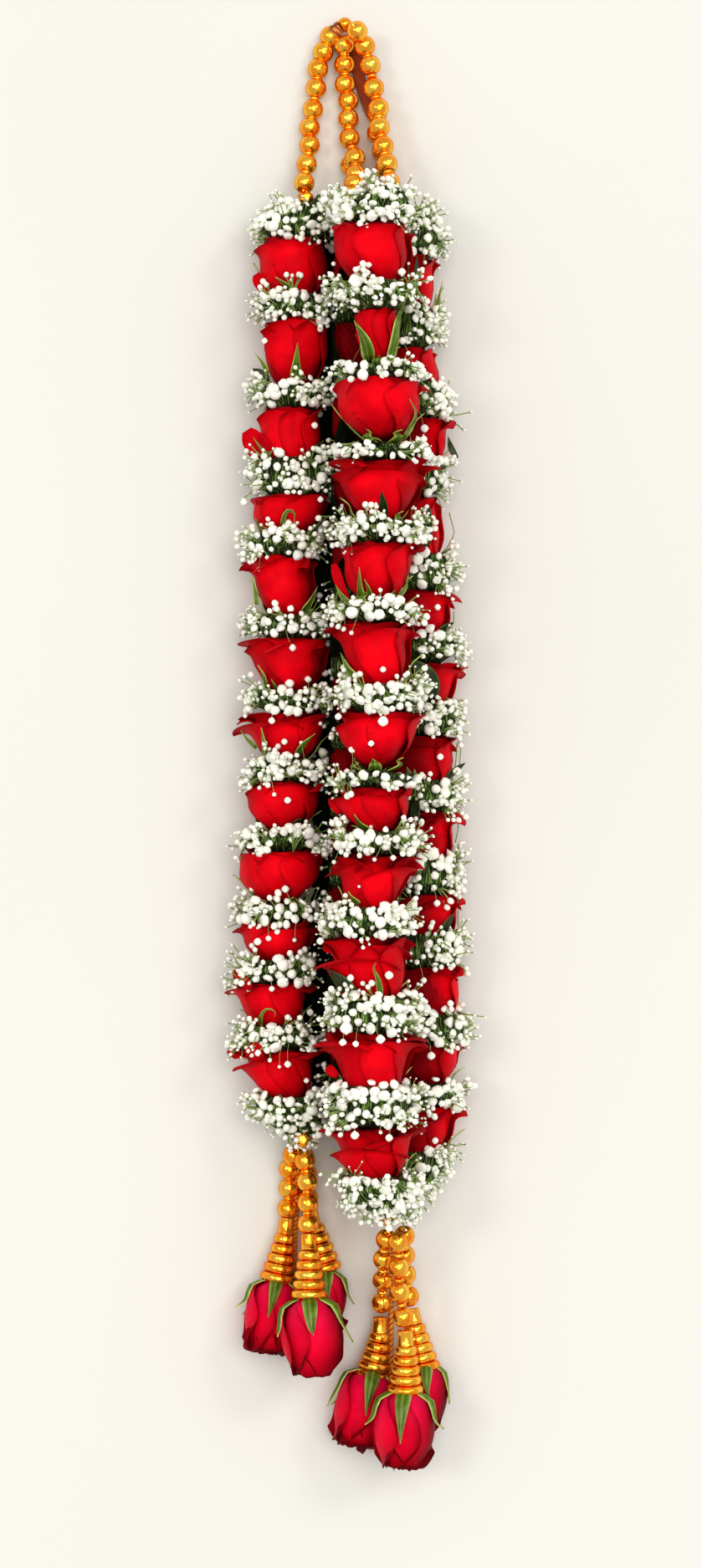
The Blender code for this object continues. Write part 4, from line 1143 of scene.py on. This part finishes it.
# Sprigs as reach, buds and their size, and the size up to which a bud is a plainer shape
SPRIGS = ((4.0, 4, 1.7), (5.0, 4, 1.5), (4.5, 5, 1.35))
AIRY_SPRIGS = ((8.0, 4, 1.1), (9.5, 5, 1.0), (8.5, 4, 1.25))
TINY_BUD_MOST = 1.3


def sprig(skin, reach, buds, size, draw):
    """A forked stem that ends in buds."""
    for turn in angles(buds):
        angle = turn + draw.uniform(-0.5, 0.5)
        out = reach * draw.uniform(0.25, 1.0)
        x, y, z = out * cos(angle), out * sin(angle), reach * draw.uniform(0.2, 0.9)
        skin.tube(((0.2, -0.1, -7.0), (0.4 * x, 0.4 * y, 0.3 * z - 1.5), (x, y, z)), 0.40, 3, 0.10)
        bud = size * draw.uniform(0.75, 1.2)
        skin.turned((x, y, z + bud), bud, *((6, BUD) if bud > TINY_BUD_MOST else (5, TINY_BUD)))


def bloom_kinds(draw):
    """The shapes of florets, sprigs and longer airy sprigs, in groups to scatter from."""
    groups = []
    for kind, shapes in (("floret", FLORETS), ("sprig", SPRIGS), ("airy", AIRY_SPRIGS)):
        groups.append(bpy.data.collections.new(f"{kind}_kinds"))
        for shape in shapes:
            skin = Skin()
            if kind == "floret":
                profile, sides, *lobes = shape
                skin.turned((0, 0, 0), 1.0, sides, profile, *lobes, draw)
            else:
                sprig(skin, *shape, draw)
            groups[-1].objects.link(bpy.data.objects.new("bloom", skin.mesh("bloom")))
    return groups


def band_mesh(name, column, chains, share):
    """Open bands round a column, through chains of height, radius and weight. share gives how
    many blooms stand at an angle."""
    sides = 32
    points, faces, weights = [], [], []
    for number, chain in enumerate(chains):
        start = len(points)
        for y, radius, weight in chain:
            for angle in angles(sides):
                wavy = 1.6 * sin(3.0 * angle + 2.1 * number)
                x, y_, z = column.notched(radius, angle, y + wavy, BAND_MARGIN)
                points.append((x * MM, y_ * MM, max(z, BAND_LOW) * MM))
                weights.append(weight * share(angle) * column.blooms)
        for a in range(start, len(points) - sides, sides):
            for i in range(sides):
                after = (i + 1) % sides
                faces.append((a + i, a + sides + i, a + sides + after, a + after))
    mesh = bpy.data.meshes.new(name)
    mesh.from_pydata(points, [], faces)
    mesh.attributes.new("weight", "FLOAT", "POINT").data.foreach_set("value", weights)
    return mesh


def press_flat(mesh):
    """Blooms under the garlands are pressed between them and the table."""
    places = np.empty(len(mesh.vertices) * 3)
    mesh.vertices.foreach_get("co", places)
    heights = places[2::3]
    low = heights < PRESS_UNDER * MM
    pressed = (heights[low] + PRESS_DEPTH * MM) * PRESS_SHARE
    heights[low] = np.maximum(TABLE_SKIN * MM, TABLE_SKIN * MM + pressed)
    mesh.vertices.foreach_set("co", places)


def collar_chains(column):
    """The bands that the florets of a column stand on, from the neck down."""
    size = column.collar_radius - 1.8
    last = len(column.rims)
    chains = []
    for index in range(last + 1):
        chain = []
        if index < last:
            low = column.rims[index]
            flare = LIP_CLOSED + LIP_FLARE * column.openness[index]
            lip = min(column.widths[index] / 2.0 * flare, size) + 1.4
            chain += [(low - 2.0, lip - 0.6, 0.4), (low + 0.6, lip + 0.4, 0.9)]
        if index == 0:
            for share, way in ((1.0, 0.12), *TUFT_STEPS):
                chain.append((between(low, column.top, way), size * share, 0.85))
            chain.append((column.top, 0.25 * size, 0.6))
        else:
            high = column.bases[index - 1]
            end = high + column.lifts[index - 1]
            if index < last:
                for share, wide in ((0.35, 1.0), (0.7, 1.03)):
                    chain.append((between(low + 1.0, end, share), wide * size, 1.0))
            else:
                foot_size = size * column.foot_size
                chain.append((column.foot, 0.2 * size, 0.7))
                for share, way in reversed(TUFT_STEPS):
                    chain.append((between(high, column.foot, way), foot_size * share, 1.0))
            chain += [(end - 1.0, 0.97 * size, 1.0), (end + 1.5, 0.86 * size, 0.5)]
        chains.append(chain)
    return chains


def collar_cores(column):
    """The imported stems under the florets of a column."""
    skin = Skin()
    sides = 24
    size = column.collar_radius
    last = len(column.rims)
    for index in range(last + 1):
        stations = []
        if index < last:
            low = column.rims[index] + 0.6
            stations += [
                (low - 3.5, 3.0), (low - 3.5, 0.45 * size), (low, 0.66 * size),
                (low + 1.5, 0.80 * size)]
        if index == 0:
            for share, way in TUFT_STEPS:
                stations.append((between(low, column.top, way), CORE_SHARE * size * share))
            stations.append((between(low, column.top, CORE_END), 2.0))
        else:
            high = column.bases[index - 1] - 0.7
            end = high + column.lifts[index - 1]
            if index == last:
                stations.append((between(high, column.foot, CORE_END), 2.0))
                for share, way in reversed(TUFT_STEPS):
                    radius = CORE_SHARE * size * share * column.foot_size
                    stations.append((between(high, column.foot, way), radius))
            middle = between(low, high, 0.5) + 1.5 if index < last else high - 1.0
            stations += [
                (middle, 0.85 * size), (end - 3.0, 0.78 * size), (end - 0.5, 0.62 * size),
                (end - 1.5, HIP_MOST + 1.5), (high, 9.0), (high, 3.0)]
        skin.sweep([[
            column.notched(radius * (1.0 + 0.04 * sin(7 * i + y)), angle, y, 1.0)
            for i, angle in enumerate(angles(sides))] for y, radius in stations])
    return skin


def lone_floret(skin, root, tip, radius, draw):
    """A single floret, or a bud where it is small, on a bent thin stem."""
    bend = (Vector(root) + Vector(tip)) / 2.0 + Vector((draw.uniform(-1.5, 1.5), 0.0, 1.5))
    if (Vector(root) - Vector(tip)).length < LONE_STEM_MOST:
        skin.tube((root, bend, tip), 0.2, 4, 0.2)
    if radius > LONE_BUD_MOST:
        skin.turned(tip, radius / 3.2, 12, draw.choice((OPEN_FLORET, POMPON)), 4, 0.06, 0.06, draw)
    else:
        skin.turned(tip, radius, 7, BUD, 5, 0.0, 0.05, draw)


def stray_blooms(column, draw):
    """Single florets that reach over the roses beside a collar: those that the photograph
    shows, and some more round the sides."""
    skin = Skin()
    collars = [
        column.rims[0] + 4.0, *((rim + base) / 2.0 for rim, base in zip(
            column.rims[1:], column.bases)), column.bases[-1] - 4.0]
    for x, y, radius in SEEN[column.name]["florets"]:
        start = min(collars, key=lambda collar: abs(collar - y))
        side = x + draw.uniform(-5.0, 5.0)
        lone_floret(skin, (side, start, column.front(side, start) - 2.0),
                    (x, y, column.front(x, y) + 1.8), radius, draw)
    for tone, *spots in SEEN[column.name]["stems"]:
        skin.tube([(x, y, column.front(x, y) + 1.5) for x, y in pairs(spots)], 0.4, 4, tone)
    for rim, base, outside in zip(column.rims, column.bases, column.cups):
        for way in (1.0, -1.0):
            angle = UP + way * draw.uniform(1.0, 2.3)
            share = draw.choice((draw.uniform(0.18, 0.4), draw.uniform(0.72, 0.92)))
            start = base - 1.0 if share < 0.5 else rim + 4.0
            tip = column.place(outside(share) + draw.uniform(2.5, 4.5), angle,
                               base + share * (rim - base), 1.0)
            root = column.place(0.8 * column.collar_radius, angle, start, 1.0)
            lone_floret(skin, root, tip, draw.uniform(1.2, 2.6), draw)
    return skin


def seen_blades(column, blades, wide_at, lift):
    """Blades that lie over the front of a column, as width and the curve from base to tip."""
    skin = Skin()
    for width, *spots in blades:
        route = Route([(x, y, 0.0) for x, y in pairs(spots)])

        def surface(u, v):
            along = v * route.length
            way = route.way(along, 0.3)
            spot = route.point(along) + Vector((-way.y, way.x, 0.0)) * (
                0.5 * width * u * wide_at(v))
            rise = lift + 1.8 * v ** 2 - 0.12 * width * wide_at(v) * (1.0 - abs(u))
            return spot.x, spot.y, column.front(spot.x, spot.y) + rise

        # The tone of 0.45 paints shade on the outer petals; the sepal and leaf finishes do not
        # read it
        skin.sheet(surface, 4, 10, 0.7, 0.45)
    return skin


def leaf_blade(skin, x, y, z, draw):
    """A broad leaf that lies nearly flat and points up the garland."""
    long, wide = draw.uniform(22.0, 28.0), draw.uniform(8.0, 10.0)
    slant, crown = draw.uniform(-0.25, 0.25), draw.uniform(2.0, 5.0)

    def surface(u, v):
        half = wide * sin(pi * min(0.06 + 0.92 * v, 0.985))
        return (x + u * half + slant * long * v, y + long * v,
                z + crown * sin(pi * v) * (1.0 - 0.5 * abs(u)))

    skin.sheet(surface, 4, 6, 0.5, 0.0)


def dark_leaves(column, draw):
    """Broad leaves tucked between the strands, where little light gets in. Their finish is painted
    shade: a darker copy of the leaf colours.
    """
    skin = Skin()
    for rim, base, width in zip(column.rims, column.bases, column.widths):
        radius = width / 2.0
        for i in range(LEAVES_ROUND):
            angle = TURN * (i + draw.uniform(0.0, 0.6)) / LEAVES_ROUND
            end = rim + draw.uniform(-14.0, 2.0)
            stations = (
                (0.0, 0.5 * radius, base - 5.0), (0.4, 0.95 * radius, base + 8.0),
                (1.0, radius + 4.0, end))
            sepal(skin, column.place, angle, stations, draw.uniform(12.0, 17.0),
                  draw.uniform(-5.0, 5.0))
    for i in range(round((column.top - column.foot - LEAVES_SHORT) / LEAF_PITCH)):
        y = column.foot + LEAF_START + LEAF_PITCH * i
        left, right = (
            between(*NOMINAL_X[name], share_down(y)) for name in ("left_front", "left_back"))
        leaf_blade(skin, (left + right) / 2.0 + draw.uniform(-3.0, 3.0), y, 2.0 + 1.4 * (i % 3),
                   draw)
    return skin


def dress_column(name, kinds, draw):
    column = Column(name)
    sepals = Skin()
    for index in range(len(column.rims)):
        dress_rose(column, index, sepals, draw)
    node = f"babys_breath_{name}"
    show(f"collar_stems_{name}", collar_cores(column), "foliage", node)
    show(f"sepals_{name}", sepals, "sepal", node)
    if name == "left_back":
        show("leaves_between", dark_leaves(column, draw), "painted_shade_leaf", node)
    else:
        show(f"stray_florets_{name}", stray_blooms(column, draw), "bloom", node)
        for label, seen, wide_at, lift, finish in (
                ("long_sepals", "sepals", SEPAL_WIDTH, 3.0, "sepal"),
                ("leaves", "leaves", LEAF_WIDTH, 2.4, "leaf"),
                ("outer_petals", "petals", OUTER_PETAL_WIDTH, 0.4, "rose")):
            if SEEN[name][seen]:
                blades = seen_blades(column, SEEN[name][seen], wide_at, lift)
                show(f"{label}_{name}", blades, finish)
    # Fewer blooms stand underneath, and on the right back column where the front one lies on it
    sparse = 0.55 if name == "right_back" else 0.0
    chains = collar_chains(column)
    facing = band_mesh(
        f"band_{name}", column, chains,
        lambda angle: min(max(0.62 + 0.75 * sin(angle), 0.22), 1.0) * (
            1.0 - sparse * hump(angle, 1.9)))
    edges = band_mesh(
        f"edge_{name}", column, chains,
        lambda angle: max(0.0, abs(cos(angle)) - 0.35) if sin(angle) > -0.4 else 0.0)
    florets, sprigs, airy = kinds
    # Most is how many stand on a square metre where the weight is 1
    for label, host, group, spacing, most, smallest, largest, sink, rise, lean in (
            ("florets", facing, florets, 4.7, 84000.0, 0.56, 1.32, -3.2, 0.8, 0.75),
            ("sprigs", facing, sprigs, 7.0, 20000.0, 0.85, 1.25, -2.4, 1.0, 0.8),
            ("airy_sprigs", edges, airy, 6.2, 22000.0, 0.7, 1.15, -2.0, 0.5, 0.6)):
        blooms = grow(
            host, SCATTER, Spacing=spacing * MM, Most=most, Smallest=smallest, Largest=largest,
            Sink=sink * MM, Rise=rise * MM, Lean=lean, Kinds=group, Finish=MATERIALS["bloom"],
            Seed=SCATTER_SEED + list(COLUMNS).index(name) + 10 * len(label))
        press_flat(blooms)
        show(f"{label}_{name}", blooms, "bloom", node)


# Beads, cords and tassels


def turned_shape(name, profile, sides):
    """A closed ring-shaped bead, from the profile of its section as radius and height."""
    skin = Skin()
    skin.sweep([
        [(radius * cos(angle), radius * sin(angle), height) for angle in angles(sides)]
        for radius, height in profile], closed=True)
    return bpy.data.objects.new(name, skin.mesh(name))


def round_profile(radius, half_length, bore, steps):
    """Section of a bead: a rounded outside with a slightly sunken hole at each end."""
    outer = []
    for j in range(steps + 1):
        rise = -1.28 + 2.56 * j / steps
        outer.append((bore + (radius - bore) * cos(rise), half_length * sin(rise)))
    sunk = 0.86 * half_length
    return [(bore, -sunk), *outer, (bore, sunk)]


BEAD = turned_shape("round_bead", round_profile(BEAD_RADIUS, 5.9, 1.3, 11), 22)
SPACER = turned_shape("spacer_ring", round_profile(3.3, 1.5, 1.2, 4), 14)
DISC = turned_shape("disc_bead", (
    (0.28, -2.86), (0.70, -2.86), (0.85, -2.6), (0.94, -1.95), (0.99, -0.8), (0.99, 0.8),
    (0.94, 1.95), (0.85, 2.6), (0.70, 2.86), (0.28, 2.86)), 24)
TUBE = turned_shape("tube_bead", (
    (1.4, -4.5), (4.4, -4.75), (4.9, -4.45), (4.9, -4.1), (4.7, -3.8), (4.7, 3.8), (4.9, 4.1),
    (4.9, 4.45), (4.4, 4.75), (1.4, 4.5)), 16)
FOIL_PROFILE = ((0, -0.9, 0), (0.7, -0.7, 0), (1.0, -0.2, 0), (0.75, 0.3, 0), (0.9, 0.7, 0),
                (0.4, 1.0, 0), (0, 0.8, 0))
BALL_PROFILE = ((0, -1.0, 0), (0.5, -0.87, 0), (0.87, -0.5, 0), (1.0, 0.0, 0), (0.87, 0.5, 0),
                (0.5, 0.87, 0), (0, 1.0, 0))


def strung(points, kind, count=None, first=1.0, last=1.0):
    """Beads of a kind on a line through points: a count of them, or one at each point."""
    thread = bpy.data.meshes.new("thread")
    thread.from_pydata([Vector(point) * MM for point in points],
                       [(i, i + 1) for i in range(len(points) - 1)], [])
    return grow(thread, STRING if count else STRING_AT, Count=count or len(points), First=first,
                Last=last, Kind=kind, Finish=MATERIALS["gold"])


def stretch(route, start, end):
    """Points along part of a route."""
    steps = max(2, round((end - start) / THREAD_STEP))
    return [route.point(between(start, end, i / steps)) for i in range(steps + 1)]


def swept_cord(points, radius, sides, pitch, flat=1.0, plies=0.0):
    """A cord through points, over the table. Plies says how deep the grooves are between the
    three twisted plies."""
    skin, route, rings = Skin(), Route(points), []
    steps = max(2, round(route.length / pitch))
    for j in range(steps + 1):
        along = route.length * (j / steps)
        ring = []
        for angle in angles(sides):
            size = radius * (1.0 + plies * cos(3 * (angle + PLY_TWIST * along)))
            x, y, z = route.place(size, angle, along, flat)
            ring.append((x, y, max(z, 0.0)))
        rings.append(ring)
    skin.sweep(rings)
    return skin


def wound_coil(middle, way, radius, thread, turns, pitch):
    """Thread wound round a strand, turn beside turn."""
    axis = Vector(way).normalized()
    side = axis.orthogonal().normalized()
    other = axis.cross(side)
    points = []
    for j in range(turns * 12 + 1):
        angle = TURN * j / 12
        rise = (j / 12 - turns / 2.0) * pitch
        points.append(
            Vector(middle) + axis * rise + radius * (side * cos(angle) + other * sin(angle)))
    skin = Skin()
    skin.tube(points, thread, 6)
    return skin


def foil_cap(place, size, draw):
    """Crumpled gold foil round the end of a strand."""
    skin = Skin()
    skin.turned(place, size, 16, FOIL_PROFILE, 5, 0.18, 0.22, draw)
    return skin.mesh("foil", "gold")


def dress_neck(draw):
    parts = {"left": [], "right": [], "behind": []}
    for name, places in NECK_BEADS.items():
        joints = [(Vector(a) + Vector(b)) / 2.0 for a, b in zip(places, places[1:])]
        parts["left" if name == "middle" else name] += [
            strung(places, BEAD), strung(joints, SPACER)]
        show(f"thread_neck_{name}", swept_cord(places, 1.1, 6, 2.0), "coil")
    parts["left"].append(strung(LOOSE_BEAD, BEAD))
    for strand, place, size in FOIL_CAPS:
        parts[strand].append(foil_cap(place, size, draw))
    apex = Skin()
    apex.turned(Vector(APEX_BEAD), APEX_BEAD_SCALE * BEAD_RADIUS, 20, BALL_PROFILE)
    parts["left"].append(apex.mesh("apex", "gold"))
    for strand, meshes in parts.items():
        show(f"gold_beads_neck_{strand}", join_meshes("neck", meshes), "gold",
             f"neck_beads_{strand}")
    tie = swept_cord(TIE_ROUTE, TIE_WIDTH / 2.0, 12, 1.2, TIE_THICK / TIE_WIDTH)
    show("tie_cord", tie, "tie", "neck_tie_cord")
    coil = wound_coil((-9.6, 434.8, 10.5), (0.8, 0.55, 0.1), 3.4, 0.85, 4, 1.5)
    show("tie_coil", coil, "coil", slot="tie_cord")


def dress_bud(buds, sepals, route, radius, length, draw):
    """A rosebud that opens away from its strand, in a calyx of five curved sepals."""

    def place(distance, angle, height):
        point = route.place(distance, angle, height)
        return point.x, point.y, max(point.z, 0.3)

    def place_petal(distance, angle, height, whole):
        return place(distance, angle, height * length)

    # Painted shade: the buds are darker on their right sides, at the angle of pi
    flower(buds, place_petal, radius, length, BUD_OPEN, draw, full=BUD_FULL, curl=0.55,
           painted_side_shade=(0.05, 0.9, 0.0), ragged=1.9)
    outside = cup(radius, length, BUD_OPEN, full=BUD_FULL)
    for i in range(SEPALS):
        angle = TURN * (i + 0.25) / SEPALS + draw.uniform(-0.12, 0.12)
        reach = draw.uniform(0.40, 0.60)
        away = draw.uniform(0.5, 5.0)
        stations = (
            (0.0, 3.5, 0.0),
            (0.25, outside(0.14) + 1.0, 0.10 * length),
            (0.6, outside(0.34) + 1.6, 0.34 * length),
            (1.0, outside(reach) + 1.6 + away, reach * length))
        sepal(sepals, place, angle, stations, draw.uniform(7.5, 10.0), draw.uniform(-5.0, 5.0),
              0.9)
    sepals.sweep([
        [route.place(size, angle, height) for angle in angles(12)]
        for height, size in ((0.0, 3.6), (2.0, 5.2), (4.5, 8.6), (7.0, 9.0), (7.5, 4.0))])


def dress_tassel(side, data, draw):
    meshes, buds, sepals = [], Skin(), Skin()
    for points, count, bud_end, length, radius, inside in data["strands"]:
        route = Route(points)
        pitch = (route.length - TUBE_LENGTH - DISC_COUNT * DISC_PITCH) / count
        tube = count * pitch + 0.5 * TUBE_LENGTH
        discs = count * pitch + TUBE_LENGTH
        last_disc = discs + (DISC_COUNT - 0.5) * DISC_PITCH
        meshes += [
            strung(stretch(route, 0.5 * pitch, (count - 0.5) * pitch), BEAD, count),
            strung(stretch(route, pitch, (count - 1) * pitch), SPACER, count - 1),
            strung(stretch(route, tube - 0.1, tube + 0.1), TUBE, 1),
            strung(stretch(route, discs + 0.5 * DISC_PITCH, last_disc), DISC, DISC_COUNT,
                   *DISC_RADII)]
        start = route.point(route.length)
        way = (Vector(bud_end) - start).normalized()
        # The calyx sits inside the last discs
        start = start - way * inside
        dress_bud(buds, sepals, Route((start, start + way * length)), radius, length, draw)
    meshes.append(foil_cap(data["knot"], KNOT_RADIUS, draw))
    show(f"gold_beads_tassel_{side}", join_meshes("tassel", meshes), "gold",
         f"tassel_{side}_beads")
    show(f"gilt_cord_{side}", swept_cord(data["cord"], 1.7, 10, 1.0, plies=0.22), "gold_cord")
    show(f"tassel_thread_{side}", swept_cord(data["thread"], 0.7, 6, 2.0), "coil")
    node = f"tassel_{side}_rosebuds"
    show(f"bud_petals_{side}", buds, "bud", node)
    show(f"bud_sepals_{side}", sepals, "sepal", node)


def main():
    draw = random.Random(DRAW_SEED)
    kinds = bloom_kinds(draw)
    for name in COLUMNS:
        dress_column(name, kinds, draw)
    dress_neck(draw)
    for side, data in TASSELS.items():
        dress_tassel(side, data, draw)
    shapes = [BEAD, SPACER, DISC, TUBE, *(item for group in kinds for item in group.objects)]
    for item in shapes:
        bpy.data.objects.remove(item)
    for group in kinds:
        bpy.data.collections.remove(group)


main()


# Floor, light and camera

FLOOR_WIDTH = 8.0
FLOOR_DROP = 0.0002
AMBIENT = 0.54
CAMERA_PLACE = (-0.00075, -0.02275, 2.445)
LENS = 92.16
SENSOR = 36.0

bpy.ops.mesh.primitive_plane_add(size=FLOOR_WIDTH, location=(0.0, 0.0, -FLOOR_DROP))
floor = bpy.context.object
floor.name = "paper_floor"
floor.data.materials.append(floor_material())

world = bpy.data.worlds.new("studio")
bpy.context.scene.world = world
world.use_nodes = True
wire(world.node_tree.nodes["Background"], Color=linear("FFFDF8"), Strength=AMBIENT)


def add_light(name, way, soft, strength):
    """A broad warm light from far away in a direction, soft over an angle in degrees."""
    light = bpy.data.lights.new(name, "SUN")
    light.angle = radians(soft)
    light.energy = strength
    light.color = linear("FFFAF4")[:3]
    item = bpy.data.objects.new(name, light)
    item.rotation_euler = Vector(way).to_track_quat("Z", "Y").to_euler()
    bpy.context.scene.collection.objects.link(item)


add_light("main_light", (0.15, 0.13, 1.0), 44.0, 1.24)
add_light("left_light", (-0.62, 0.20, 1.0), 15.0, 0.42)
add_light("right_light", (0.85, 0.65, 1.0), 13.0, 0.34)

camera = bpy.data.objects.new("camera", bpy.data.cameras.new("camera"))
camera.data.sensor_width = SENSOR
camera.data.lens = LENS
camera.data.clip_end = 10.0
camera.location = CAMERA_PLACE
bpy.context.scene.collection.objects.link(camera)
bpy.context.scene.camera = camera
bpy.context.scene.view_settings.view_transform = "Standard"
bpy.context.scene.view_settings.look = "Medium High Contrast"
